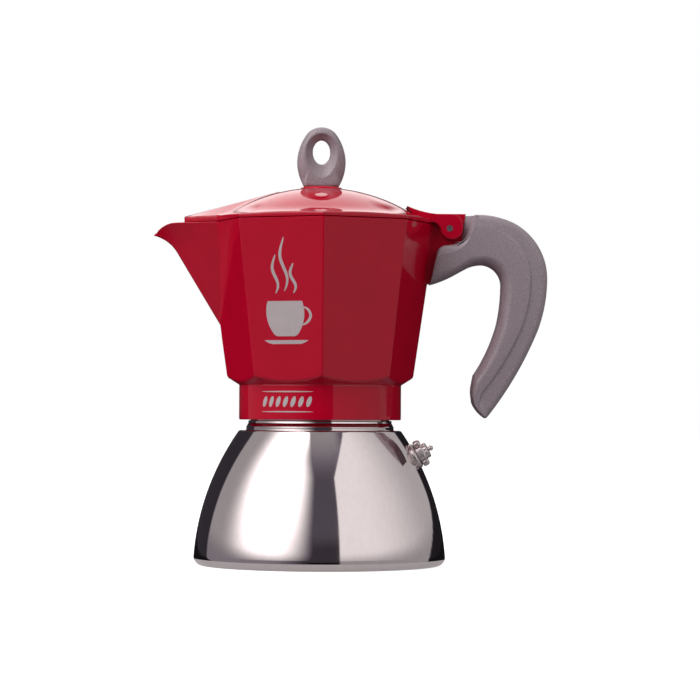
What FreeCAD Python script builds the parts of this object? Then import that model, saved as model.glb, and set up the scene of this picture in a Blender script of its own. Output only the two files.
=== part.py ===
import FreeCAD, Part
import math
import os
import Sketcher

# Stovetop coffee maker (moka pot): steel boiler below, screwed-on octagonal collector above.
# Millimetres. +Z is up, the origin is the centre of the boiler's base, the spout points to -X
# and the handle to +X.

SIZES = {
    # boiler: a domed steel vessel with a threaded neck
    "base_flat_radius": 56.165,
    "base_radius": 60.154,
    "base_corner_height": 4.292,
    "base_corner_radius": 4.0,
    "dome_radius": 119.5,
    "shoulder_radius": 38.0,
    "shoulder_height": 64.3,
    "shoulder_start_radius": 39.25,
    "shoulder_start_height": 63.55,
    "shoulder_rounding": 1.3,
    "boiler_wall": 1.6,
    "boiler_floor": 3.0,
    "inner_dome_radius": 117.9,
    "inner_base_radius": 57.7,
    "inner_base_height": 9.0,
    "inner_floor_radius": 52.0,
    "inner_corner_radius": 6.6,
    "inner_shoulder_radius": 37.6,
    "inner_shoulder_height": 62.7,
    "neck_bore": 31.0,
    "neck_root": 33.3,
    "neck_collar": 35.2,
    "neck_collar_height": 65.6,
    "neck_top": 77.5,
    # screw thread between boiler and collector
    "thread_pitch": 3.0,
    "thread_height": 6.0,
    "thread_depth": 0.9,
    "thread_half": 0.8,
    "thread_bite": 0.1,
    "neck_thread_start": 69.4,
    "bore_thread_start": 70.6,
    # safety valve, in its own frame: up is out of the boiler, zero is the dome's surface;
    # its axis rises from level by valve_rise and turns from +X by valve_turn, in degrees
    "valve_rise": 28.4,
    "valve_turn": -10.0,
    "valve_hole": 4.05,
    "valve_flange": 6.2,
    "valve_flange_height": 1.4,
    "valve_shank": 4.0,
    "valve_shank_depth": 9.0,
    "valve_neck": 3.2,
    "valve_neck_top": 4.0,
    "valve_chamber": 2.3,
    "valve_seat_depth": 6.5,
    "valve_inlet": 1.1,
    "valve_nut_corner": 6.6,
    "valve_nut_height": 3.0,
    "valve_washer_radius": 6.0,
    "valve_washer_height": 1.0,
    "wall_bulge": 0.8,
    "cap_gap": 0.3,
    "cap_radius": 4.3,
    "cap_bore": 3.25,
    "cap_body_top": 5.0,
    "cap_rim_radius": 3.6,
    "cap_top": 6.8,
    "cap_recess_floor": 5.6,
    "cap_roof": 4.3,
    "cap_recess": 2.6,
    "cap_stem_hole": 1.1,
    "wing_radius": 1.8,
    "wing_offset": 4.8,
    "wing_height": 3.2,
    "stem_radius": 1.0,
    "piston_radius": 2.2,
    "piston_height": 1.6,
    "stem_tip_radius": 1.3,
    "stem_tip_start": 7.9,
    "stem_tip_shoulder": 8.2,
    "stem_top": 9.5,
    "valve_seal_radius": 2.0,
    "valve_seal_height": 0.8,
    "spring_radius": 1.65,
    "spring_wire": 0.25,
    "spring_pitch": 1.2,
    "spring_length": 7.2,
    "spring_end_gap": 0.1,
    # coffee funnel and its sieve
    "funnel_flange": 33.2,
    "funnel_flange_top": 78.4,
    "basket_radius": 28.5,
    "basket_inside": 27.7,
    "basket_floor": 54.0,
    "funnel_sheet": 0.8,
    "stem_outside": 6.0,
    "stem_inside": 5.2,
    "stem_joint_height": 46.0,
    "stem_foot": 7.0,
    "sieve_radius": 27.6,
    "sieve_sheet": 0.6,
    "sieve_hole": 0.7,
    "sieve_ring_step": 3.4,
    # gasket and filter plate
    "gasket_outside": 33.0,
    "gasket_inside": 26.5,
    "gasket_foot": 78.5,
    "gasket_top": 81.4,
    "plate_radius": 28.7,
    "plate_foot": 81.45,
    "plate_sheet": 0.8,
    "plate_rim_top": 82.9,
    "plate_rim_wall": 0.8,
    "plate_hole": 0.8,
    "plate_ring_step": 4.1,
    # collector: round collar, octagonal flared body, cone underneath, spout, hinge rib, column
    "collar_radius": 38.8,
    "collar_foot": 69.4,
    "collar_edge": 0.6,
    "body_foot": 86.0,
    "body_foot_radius": 44.16,
    "rim_height": 164.3,
    "rim_radius": 55.5,
    "under_cone_radius": 50.0,
    "under_cone_height": 93.1,
    "cavity_floor": 91.0,
    "cavity_floor_radius": 42.0,
    "cavity_top": 169.3,
    "cavity_top_radius": 53.3,
    "bore_root": 35.4,
    "gasket_seat": 81.5,
    "plate_recess": 29.1,
    "plate_recess_top": 83.3,
    "chamber_top_radius": 6.5,
    "chamber_top": 88.6,
    "column_foot_radius": 9.5,
    "column_top_radius": 5.6,
    "column_shoulder": 143.0,
    "column_top": 146.5,
    "column_bore_top": 3.6,
    "column_bore_height": 143.5,
    "column_slot_half": 1.5,
    "column_slot_foot": 136.5,
    "column_slot_top": 142.0,
    # spout, as level sections: height, reach of its edge, half-width at the root and at the edge
    "spout_root": 42.0,
    "spout_foot": 108.0,
    "spout_foot_reach": 44.1,
    "spout_foot_half": 1.4,
    "spout_neck": 148.8,
    "spout_neck_reach": 68.6,
    "spout_neck_half": 13.8,
    "spout_curl": 153.6,
    "spout_curl_reach": 71.9,
    "spout_curl_half": 15.0,
    "spout_lip_under": 156.0,
    "spout_lip_under_reach": 75.3,
    "spout_lip_under_half": 15.6,
    "spout_lip": 157.5,
    "spout_lip_reach": 80.2,
    "spout_lip_half": 16.0,
    "spout_brow": 160.3,
    "spout_brow_reach": 78.3,
    "spout_brow_half": 16.8,
    "spout_top": 163.9,
    "spout_top_reach": 73.1,
    "spout_top_half": 17.9,
    "spout_edge_half": 1.2,
    "channel_root": 36.0,
    "channel_foot": 122.0,
    "channel_foot_reach": 47.0,
    "channel_foot_half": 2.0,
    "channel_neck": 150.0,
    "channel_neck_reach": 63.6,
    "channel_neck_half": 13.0,
    "channel_lip": 157.0,
    "channel_lip_reach": 72.0,
    "channel_lip_half": 14.6,
    "channel_mouth": 159.0,
    "channel_mouth_reach": 82.0,
    "channel_mouth_half": 15.0,
    "channel_top": 165.3,
    "channel_top_half": 17.0,
    "channel_edge_half": 0.5,
    # hinge rib on the collector's +X corner
    "rib_width": 8.4,
    "rib_root": 50.0,
    "rib_foot": 141.0,
    "rib_reach": 62.0,
    "rib_step": 152.5,
    "tongue_foot_reach": 67.4,
    "tongue_foot": 155.0,
    "tongue_reach": 69.3,
    "tongue_top": 168.5,
    "barrel_radius": 10.6,
    "barrel_top_left": 53.61,
    "barrel_left": 51.16,
    # hinge pin
    "pin_across": 61.3,
    "pin_height": 161.2,
    "pin_radius": 1.5,
    "pin_length": 17.6,
    "ear_hole": 1.56,
    # lid: dome cut to the octagon, spout cover, two hinge ears
    "lid_seam": 164.7,
    "lid_blank_radius": 58.0,
    "lid_blank_top": 165.48,
    "lid_flare_radius": 35.6,
    "lid_flare_start_radius": 46.0,
    "lid_flare_start": 169.4,
    "lid_dome_radius": 97.0,
    "lid_apex": 181.0,
    "lid_inside_edge": 167.57,
    "lid_inside_dome": 95.4,
    "lid_inside_apex": 179.4,
    "lid_pad_foot": 180.0,
    "lid_pad_foot_radius": 10.6,
    "lid_pad_radius": 9.3,
    "lid_pad_top": 181.95,
    "trim_radius": 72.0,
    "cover_reach": 65.5,
    "cover_half": 5.9,
    "cover_eave": 166.8,
    "cover_tip_ridge": 166.9,
    "cover_root": 40.0,
    "cover_root_half": 19.0,
    "cover_root_ridge": 173.7,
    "cover_hollow_reach": 63.5,
    "cover_hollow_half": 4.2,
    "cover_hollow_eave": 165.6,
    "cover_hollow_ridge": 165.7,
    "cover_hollow_root_half": 16.0,
    "cover_hollow_root_ridge": 171.6,
    "arm_width": 17.2,
    "arm_start": 41.0,
    "arm_start_top": 171.85,
    "arm_sweep": 44.0,
    "arm_level": 55.9,
    "arm_top": 168.1,
    "ear_top_right": 62.5,
    "ear_right": 67.7,
    "ear_corner": 5.3,
    "ear_right_top": 162.8,
    "ear_right_foot": 161.4,
    "ear_foot": 156.0,
    "ear_foot_corner": 5.42,
    "ear_foot_across": 62.3,
    "ear_left": 56.9,
    "arm_foot": 162.3,
    "arm_outside_wall": 54.3,
    "arm_inside": 46.5,
    "ear_slot": 9.0,
    "slot_radius": 10.95,
    "slot_right": 75.0,
    "slot_foot": 150.0,
    # knob
    "knob_foot": 182.0,
    "knob_foot_half": 8.25,
    "knob_waist": 193.8,
    "knob_half": 11.65,
    "knob_foot_curve": 22.2,
    "knob_side_curve": 20.1,
    "knob_shoulder_half": 6.85,
    "knob_shoulder": 206.84,
    "knob_crown": 9.0,
    "knob_top": 210.0,
    "knob_thickness": 11.0,
    "knob_rounding": 2.0,
    "knob_hole_half": 4.25,
    "knob_hole_foot": 196.15,
    "knob_hole_top": 199.85,
    "knob_screw_radius": 2.0,
    "knob_screw_hole": 2.1,
    "knob_screw_top": 188.5,
    "knob_screw_head": 3.6,
    "knob_screw_foot": 176.2,
    "knob_washer_foot": 178.5,
    "knob_washer_top": 179.2,
    "knob_washer_radius": 5.0,
    # handle outline, from the root up over the top and down to the tip
    "handle_width": 20.0,
    "handle_root": 52.1,
    "handle_root_foot": 134.3,
    "handle_root_side": 56.4,
    "handle_root_side_top": 151.0,
    "scoop_corner": 4.5,
    "scoop_start": 60.0,
    "scoop_start_height": 153.3,
    "scoop_floor": 64.2,
    "scoop_floor_height": 153.8,
    "scoop_radius": 13.0,
    "scoop_end": 73.4,
    "scoop_end_height": 165.5,
    "handle_top_left": 73.6,
    "handle_top": 168.0,
    "handle_brow_radius": 40.0,
    "handle_brow": 93.1,
    "handle_brow_height": 163.8,
    "handle_back_radius": 30.1,
    "handle_back": 108.5,
    "handle_back_height": 137.4,
    "handle_calf_radius": 72.0,
    "handle_calf": 104.2,
    "handle_calf_height": 113.1,
    "handle_tail_radius": 172.0,
    "handle_tail": 80.6,
    "handle_tail_height": 72.0,
    "handle_tip": 79.3,
    "handle_tip_height": 70.6,
    "tip_radius": 16.0,
    "tip_heel": 72.2,
    "tip_heel_height": 85.2,
    "grip_start": 73.3,
    "grip_start_height": 91.1,
    "grip_radius": 82.0,
    "grip_top": 86.5,
    "grip_top_height": 133.0,
    "grip_bend": 10.0,
    "grip_roof": 77.7,
    "grip_roof_height": 144.1,
    "grip_roof_bend": 16.0,
    "underside": 69.6,
    "underside_height": 142.2,
    "underside_radius": 72.0,
    "web_width": 8.4,
    "web_right": 74.5,
    "web_foot": 152.0,
    "rib_clearance": 0.15,
    "rib_slot_width": 8.7,
    # screw that holds the handle on the rib
    "handle_screw_across": 58.0,
    "handle_screw_radius": 1.6,
    "handle_screw_hole": 1.75,
    "handle_screw_top": 150.0,
    "handle_screw_foot": 137.4,
    "handle_screw_head": 2.9,
    "handle_washer_foot": 138.4,
    "handle_washer_top": 139.0,
    "handle_washer_radius": 3.0,
    "handle_counterbore": 3.2,
    "socket_radius": 1.4,
    "socket_depth": 1.2,
}

# how many of each
SIEVE_RINGS = 7
PLATE_RINGS = 6
WING_SIDES = ("", "- ")

doc = FreeCAD.newDocument("MokaPot")
sheet = doc.addObject("Spreadsheet::Sheet", "Sizes")
for row, (cell_name, cell_value) in enumerate(SIZES.items(), start=1):
    sheet.set(f"A{row}", cell_name)
    sheet.set(f"B{row}", str(cell_value))
    sheet.setAlias(f"B{row}", cell_name)
doc.recompute()


def amount(words):
    """Work out a sum of cells and numbers, such as "neck_top - boiler_wall"."""
    total = 0.0
    sign = 1
    for word in str(words).split():
        if word in ("+", "-"):
            sign = -1 if word == "-" else 1
        else:
            total += sign * (sheet.get(word) if word in SIZES else float(word))
            sign = 1
    return total


def formula(words):
    """Turn the same sum into an expression on the sheet."""
    return " ".join(f"Sizes.{word}" if word in SIZES else word for word in str(words).split())


def less(words):
    """The same sum with every sign turned over, to take it away from another."""
    flipped = {"+": "-", "-": "+"}
    terms = str(words).split()
    if terms[0] not in flipped:
        terms.insert(0, "+")
    return " ".join(flipped.get(term, term) for term in terms)


def bind(thing, field, words):
    """Tie one property or constraint of an object to the sheet."""
    thing.setExpression(field, formula(words))


def new_body(label):
    body = doc.addObject("PartDesign::Body", label)
    body.Label = label
    return body


def origin_part(body, role):
    """The origin plane or axis of a body with that role, such as XZ_Plane."""
    return next(part for part in body.Origin.OriginFeatures if part.Role == role)


def new_sketch(body, plane="XZ_Plane", lift=None):
    """A sketch on one of the body's own origin planes, lifted by a named height."""
    sketch = body.newObject("Sketcher::SketchObject", f"{body.Label}_sketch")
    sketch.AttachmentSupport = [(origin_part(body, plane), "")]
    sketch.MapMode = "FlatFace"
    if lift is not None:
        sketch.AttachmentOffset.Base.z = amount(lift)
        bind(sketch, "AttachmentOffset.Base.z", lift)
    return sketch


def hold_point(sketch, edge, end, across, up):
    """Hold one end of an edge at the coordinates that the sheet gives."""
    for kind, axis, words in (("DistanceX", -2, across), ("DistanceY", -1, up)):
        if str(words) == "0":
            sketch.addConstraint(Sketcher.Constraint("PointOnObject", edge, end, axis))
            continue
        rule = Sketcher.Constraint(kind, -1, 1, edge, end, amount(words))
        index = sketch.addConstraint(rule)
        if not str(words).replace(".", "").replace("-", "").isdigit():
            bind(sketch, f"Constraints[{index}]", words)


def arc_centre(start, finish, radius, turn):
    """The centre of the short arc from start to finish; turn is 1 for anticlockwise."""
    chord = finish - start
    left = FreeCAD.Vector(-chord.y, chord.x, 0).normalize()
    return (start + finish) * 0.5 + left * (turn * math.sqrt(radius ** 2 - (chord.Length / 2) ** 2))


def draw(sketch, points):
    """Draw one closed outline.

    A point is (across, up), reached by a straight line from the point before it, or
    (across, up, radius, turn), reached by an arc: turn is 1 for anticlockwise, -1 for clockwise.
    """
    ends = []
    places = [FreeCAD.Vector(amount(point[0]), amount(point[1]), 0) for point in points]
    for number, point in enumerate(points):
        start = places[number - 1]
        finish = places[number]
        if len(point) == 2:
            edge = sketch.addGeometry(Part.LineSegment(start, finish), False)
            ends.append((edge, 1, 2))
            continue
        radius = amount(point[2])
        turn = point[3]
        circle = Part.Circle(arc_centre(start, finish, radius, turn), FreeCAD.Vector(0, 0, 1), radius)
        first, last = (start, finish) if turn == 1 else (finish, start)
        arc = Part.ArcOfCircle(circle, circle.parameter(first), circle.parameter(last))
        edge = sketch.addGeometry(arc, False)
        ends.append((edge, 1, 2) if turn == 1 else (edge, 2, 1))
        index = sketch.addConstraint(Sketcher.Constraint("Radius", edge, radius))
        bind(sketch, f"Constraints[{index}]", point[2])
    for number, point in enumerate(points):
        edge, _, finish_end = ends[number]
        following, start_end, _ = ends[(number + 1) % len(points)]
        sketch.addConstraint(Sketcher.Constraint("Coincident", edge, finish_end, following, start_end))
        hold_point(sketch, edge, finish_end, point[0], point[1])


def circle_in(sketch, radius, across="0", up="0"):
    """Draw a circle, its radius and centre held by the sheet."""
    centre = FreeCAD.Vector(amount(across), amount(up), 0)
    ring = Part.Circle(centre, FreeCAD.Vector(0, 0, 1), amount(radius))
    edge = sketch.addGeometry(ring, False)
    index = sketch.addConstraint(Sketcher.Constraint("Radius", edge, amount(radius)))
    bind(sketch, f"Constraints[{index}]", radius)
    hold_point(sketch, edge, 3, across, up)


def regular_outline(sketch, count, radius):
    """Draw an outline with equal sides whose corners lie on a guide circle, the first on +X."""
    size = amount(radius)
    guide = sketch.addGeometry(Part.Circle(FreeCAD.Vector(0, 0, 0), FreeCAD.Vector(0, 0, 1), size), True)
    index = sketch.addConstraint(Sketcher.Constraint("Radius", guide, size))
    bind(sketch, f"Constraints[{index}]", radius)
    sketch.addConstraint(Sketcher.Constraint("Coincident", guide, 3, -1, 1))
    step = 2 * math.pi / count
    corners = [
        FreeCAD.Vector(size * math.cos(step * number), size * math.sin(step * number), 0)
        for number in range(count)
    ]
    sides = [
        sketch.addGeometry(Part.LineSegment(corner, corners[(number + 1) % count]), False)
        for number, corner in enumerate(corners)
    ]
    for number, side in enumerate(sides):
        sketch.addConstraint(Sketcher.Constraint("Coincident", side, 2, sides[(number + 1) % count], 1))
        sketch.addConstraint(Sketcher.Constraint("PointOnObject", side, 2, guide))
        if number:
            sketch.addConstraint(Sketcher.Constraint("Equal", sides[0], side))
    sketch.addConstraint(Sketcher.Constraint("PointOnObject", sides[0], 1, -1))


def octagon_in(sketch, radius):
    """Draw a regular octagon whose first corner is on +X."""
    regular_outline(sketch, 8, radius)


def turned(body, points, feature="PartDesign::Revolution"):
    """Turn an outline (radius, height) a full turn about the body's Z axis."""
    sketch = new_sketch(body)
    draw(sketch, points)
    revolve = body.newObject(feature, f"{body.Label}_{feature.split('::')[1]}")
    revolve.Profile = sketch
    revolve.ReferenceAxis = (sketch, ["V_Axis"])
    revolve.Angle = 360
    return revolve


def lofted(body, sketches, feature="PartDesign::AdditiveLoft"):
    """Join sections with flat sides."""
    loft = body.newObject(feature, f"{body.Label}_{feature.split('::')[1]}")
    loft.Profile = sketches[0]
    loft.Sections = sketches[1:]
    loft.Ruled = True
    return loft


def padded(body, points, width, feature="PartDesign::Pad", plane="XZ_Plane"):
    """Give an outline (across, height) a width, half to each side of its plane."""
    sketch = new_sketch(body, plane)
    draw(sketch, points)
    pad = body.newObject(feature, f"{body.Label}_{feature.split('::')[1]}")
    pad.Profile = sketch
    pad.Midplane = True
    bind(pad, "Length", width)
    return pad


def rounded(body, pad, radius, half_width):
    """Round the outline's edges on both side faces of a pad."""
    doc.recompute()
    rims = [
        f"Edge{number}"
        for number, edge in enumerate(pad.Shape.Edges, start=1)
        if all(abs(abs(vertex.Y) - half_width) < 0.001 for vertex in edge.Vertexes)
        and edge.Vertexes[0].Y * edge.Vertexes[-1].Y > 0
    ]
    fillet = body.newObject("PartDesign::Fillet", f"{body.Label}_rounding")
    fillet.Base = (pad, rims)
    bind(fillet, "Radius", radius)
    doc.recompute()
    return fillet


def thread(body, root, start, crest):
    """A helical ridge; crest is 1 for one that points outwards, -1 for one that points inwards."""
    sketch = new_sketch(body)
    bite = "- thread_bite" if crest == 1 else "+ thread_bite"
    tip = "+ thread_depth" if crest == 1 else "- thread_depth"
    draw(sketch, [
        (f"{root} {bite}", start),
        (f"{root} {tip}", f"{start} + thread_half"),
        (f"{root} {bite}", f"{start} + thread_half + thread_half"),
    ])
    helix = body.newObject("PartDesign::AdditiveHelix", f"{body.Label}_thread")
    helix.Profile = sketch
    helix.ReferenceAxis = (sketch, ["V_Axis"])
    helix.Mode = 0
    bind(helix, "Pitch", "thread_pitch")
    bind(helix, "Height", "thread_height")
    helix.Angle = 0
    return helix


def drilled(body, radius, across, foot, top):
    """Cut an upright round hole between two heights."""
    sketch = new_sketch(body, "XY_Plane", foot)
    circle_in(sketch, radius, across)
    hole = body.newObject("PartDesign::Pocket", f"{body.Label}_hole")
    hole.Profile = sketch
    hole.Reversed = True
    bind(hole, "Length", f"{top} {less(foot)}")
    return hole


def cross_bored(body, radius, width):
    """Cut the hinge pin's hole right through, along Y."""
    sketch = new_sketch(body)
    circle_in(sketch, radius, "pin_across", "pin_height")
    hole = body.newObject("PartDesign::Pocket", f"{body.Label}_pin_hole")
    hole.Profile = sketch
    hole.Midplane = True
    bind(hole, "Length", width)
    return hole


def perforated(body, hole, step, rings, foot, top):
    """Drill rings of small holes, six more in each ring than in the one inside it."""
    drilled(body, hole, "0", foot, top)
    across = "0"
    for ring in range(1, rings + 1):
        across = step if ring == 1 else f"{across} + {step}"
        first = drilled(body, hole, across, foot, top)
        pattern = body.newObject("PartDesign::PolarPattern", f"{body.Label}_ring_{ring}")
        pattern.Originals = [first]
        pattern.Axis = (origin_part(body, "Z_Axis"), [""])
        pattern.Angle = 360
        pattern.Occurrences = 6 * ring
        body.Tip = pattern


def moved(body, across):
    """Shift a piece along X to a place from the sheet."""
    body.Placement.Base.x = amount(across)
    bind(body, "Placement.Base.x", across)
    return body


def dome_placement():
    """Where the valve stands on the boiler's dome, its Z pointing straight out of the wall."""
    foot = FreeCAD.Vector(amount("base_radius"), amount("base_corner_height"), 0)
    shoulder = FreeCAD.Vector(amount("shoulder_start_radius"), amount("shoulder_start_height"), 0)
    centre = arc_centre(foot, shoulder, amount("dome_radius"), 1)
    rise = math.radians(amount("valve_rise"))
    across = centre.x + amount("dome_radius") * math.cos(rise)
    height = centre.y + amount("dome_radius") * math.sin(rise)
    turn = FreeCAD.Rotation(FreeCAD.Vector(0, 0, 1), amount("valve_turn"))
    tilt = FreeCAD.Rotation(FreeCAD.Vector(0, 1, 0), 90 - amount("valve_rise"))
    return FreeCAD.Placement(turn.multVec(FreeCAD.Vector(across, 0, height)), turn.multiply(tilt))


def on_dome(body):
    """Stand a valve piece, made upright at the origin, in its place on the dome."""
    body.Placement = dome_placement()
    return body


def ring(label, outside, inside, foot, top):
    """A plain washer or gasket."""
    body = new_body(label)
    turned(body, [(inside, foot), (outside, foot), (outside, top), (inside, top)])
    return body


def screw(label, shank, across, top, head, head_top, foot):
    """Round-headed screw that points up, with a hexagon socket in its head."""
    body = new_body(label)
    turned(body, [
        ("0", foot),
        (head, foot),
        (head, head_top),
        (shank, head_top),
        (shank, top),
        ("0", top),
    ])
    socket = new_sketch(body, "XY_Plane", foot)
    regular_outline(socket, 6, "socket_radius")
    recess = body.newObject("PartDesign::Pocket", f"{label}_socket")
    recess.Profile = socket
    recess.Reversed = True
    bind(recess, "Length", "socket_depth")
    return moved(body, across)


def boiler():
    """Domed steel vessel: flat base, round shoulder, threaded neck, hole for the valve."""
    body = new_body("boiler")
    turned(body, [
        ("0", "boiler_floor"),
        ("0", "0"),
        ("base_flat_radius", "0"),
        ("base_radius", "base_corner_height", "base_corner_radius", 1),
        ("shoulder_start_radius", "shoulder_start_height", "dome_radius", 1),
        ("shoulder_radius", "shoulder_height", "shoulder_rounding", 1),
        ("neck_collar", "shoulder_height"),
        ("neck_collar", "neck_collar_height"),
        ("neck_root", "neck_collar_height"),
        ("neck_root", "neck_top"),
        ("neck_bore", "neck_top"),
        ("neck_bore", "inner_shoulder_height"),
        ("inner_shoulder_radius", "inner_shoulder_height"),
        ("inner_base_radius", "inner_base_height", "inner_dome_radius", -1),
        ("inner_floor_radius", "boiler_floor", "inner_corner_radius", -1),
    ])
    thread(body, "neck_root", "neck_thread_start", 1)
    sketch = new_sketch(body, "XY_Plane")
    sketch.AttachmentOffset = dome_placement()
    circle_in(sketch, "valve_hole")
    hole = body.newObject("PartDesign::Pocket", "boiler_valve_hole")
    hole.Profile = sketch
    hole.Midplane = True
    bind(hole, "Length", "valve_shank_depth")
    return body


def valve_body():
    """Flanged tube through the boiler's wall, with the chamber for the spring."""
    body = new_body("valve_body")
    turned(body, [
        ("valve_inlet", "- valve_shank_depth"),
        ("valve_shank", "- valve_shank_depth"),
        ("valve_shank", "0"),
        ("valve_flange", "0"),
        ("valve_flange", "valve_flange_height"),
        ("valve_neck", "valve_flange_height"),
        ("valve_neck", "valve_neck_top"),
        ("valve_chamber", "valve_neck_top"),
        ("valve_chamber", "- valve_seat_depth"),
        ("valve_inlet", "- valve_seat_depth"),
    ])
    return on_dome(body)


def valve_washer():
    """Sealing ring between the valve's nut and the inside of the boiler."""
    return on_dome(ring("valve_washer", "valve_washer_radius", "valve_hole",
                        "- boiler_wall - valve_washer_height - wall_bulge", "- boiler_wall - wall_bulge"))


def valve_nut():
    """Six-sided nut inside the boiler that clamps the valve to the wall."""
    body = new_body("valve_nut")
    foot = "- boiler_wall - valve_washer_height - valve_nut_height - wall_bulge"
    sketch = new_sketch(body, "XY_Plane", foot)
    regular_outline(sketch, 6, "valve_nut_corner")
    pad = body.newObject("PartDesign::Pad", "valve_nut_pad")
    pad.Profile = sketch
    bind(pad, "Length", "valve_nut_height")
    drilled(body, "valve_hole", "0", foot, "0")
    return on_dome(body)


def valve_cap():
    """Screwed cap with two round wings, a raised rim and a hole for the piston's stem."""
    body = new_body("valve_cap")
    foot = "valve_flange_height + cap_gap"
    turned(body, [
        ("cap_bore", foot),
        ("cap_radius", foot),
        ("cap_radius", "cap_body_top"),
        ("cap_rim_radius", "cap_body_top"),
        ("cap_rim_radius", "cap_top"),
        ("cap_recess", "cap_top"),
        ("cap_recess", "cap_recess_floor"),
        ("cap_stem_hole", "cap_recess_floor"),
        ("cap_stem_hole", "cap_roof"),
        ("cap_bore", "cap_roof"),
    ])
    for side in WING_SIDES:
        sketch = new_sketch(body, "XY_Plane", foot)
        circle_in(sketch, "wing_radius", f"{side}wing_offset")
        wing = body.newObject("PartDesign::Pad", "valve_cap_wing")
        wing.Profile = sketch
        bind(wing, "Length", "wing_height")
    drilled(body, "cap_bore", "0", foot, "cap_roof")
    return on_dome(body)


def valve_piston():
    """Plunger that lifts off its seat when the pressure is too high; its stem shows outside."""
    body = new_body("valve_piston")
    head = "valve_seal_height - valve_seat_depth"
    turned(body, [
        ("0", head),
        ("piston_radius", head),
        ("piston_radius", f"{head} + piston_height"),
        ("stem_radius", f"{head} + piston_height"),
        ("stem_radius", "stem_tip_start"),
        ("stem_tip_radius", "stem_tip_start"),
        ("stem_tip_radius", "stem_tip_shoulder"),
        ("0", "stem_top", "stem_tip_radius", 1),
    ])
    return on_dome(body)


def valve_seal():
    """Disc on the piston's head that shuts the valve's throat."""
    return on_dome(ring("valve_seal", "valve_seal_radius", "0", "- valve_seat_depth",
                        "valve_seal_height - valve_seat_depth"))


def valve_spring():
    """Coil spring between the piston's head and the cap's roof."""
    body = new_body("valve_spring")
    foot = "valve_seal_height - valve_seat_depth + piston_height + spring_wire + spring_end_gap"
    sketch = new_sketch(body)
    circle_in(sketch, "spring_wire", "spring_radius", foot)
    coil = body.newObject("PartDesign::AdditiveHelix", "valve_spring_coil")
    coil.Profile = sketch
    coil.ReferenceAxis = (sketch, ["V_Axis"])
    coil.Mode = 0
    bind(coil, "Pitch", "spring_pitch")
    bind(coil, "Height", "spring_length")
    coil.Angle = 0
    return on_dome(body)


def funnel():
    """Spun funnel: a flange that lies on the neck, a basket for the coffee, and a long stem."""
    body = new_body("funnel")
    turned(body, [
        ("basket_radius", "neck_top"),
        ("funnel_flange", "neck_top"),
        ("funnel_flange", "funnel_flange_top"),
        ("basket_inside", "funnel_flange_top"),
        ("basket_inside", "basket_floor"),
        ("stem_inside", "stem_joint_height"),
        ("stem_inside", "stem_foot"),
        ("stem_outside", "stem_foot"),
        ("stem_outside", "stem_joint_height - funnel_sheet"),
        ("basket_radius", "basket_floor - funnel_sheet"),
    ])
    return body


def funnel_sieve():
    """Perforated disc at the bottom of the basket."""
    body = new_body("funnel_sieve")
    turned(body, [
        ("0", "basket_floor"),
        ("sieve_radius", "basket_floor"),
        ("sieve_radius", "basket_floor + sieve_sheet"),
        ("0", "basket_floor + sieve_sheet"),
    ])
    perforated(body, "sieve_hole", "sieve_ring_step", SIEVE_RINGS,
               "basket_floor", "basket_floor + sieve_sheet")
    return body


def filter_plate():
    """Perforated plate with a turned-up rim, held under the collector by the gasket."""
    body = new_body("filter_plate")
    turned(body, [
        ("0", "plate_foot"),
        ("plate_radius", "plate_foot"),
        ("plate_radius", "plate_rim_top"),
        ("plate_radius - plate_rim_wall", "plate_rim_top"),
        ("plate_radius - plate_rim_wall", "plate_foot + plate_sheet"),
        ("0", "plate_foot + plate_sheet"),
    ])
    perforated(body, "plate_hole", "plate_ring_step", PLATE_RINGS,
               "plate_foot", "plate_foot + plate_sheet")
    return body


def spout_section(body, name, root, half, reach, edge):
    """A level section of the spout: wide at the root, narrow at the pouring edge."""
    sketch = new_sketch(body, "XY_Plane", name)
    draw(sketch, [
        (f"- {root}", half),
        (f"- {reach}", edge),
        (f"- {reach}", f"- {edge}"),
        (f"- {root}", f"- {half}"),
    ])
    return sketch


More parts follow.
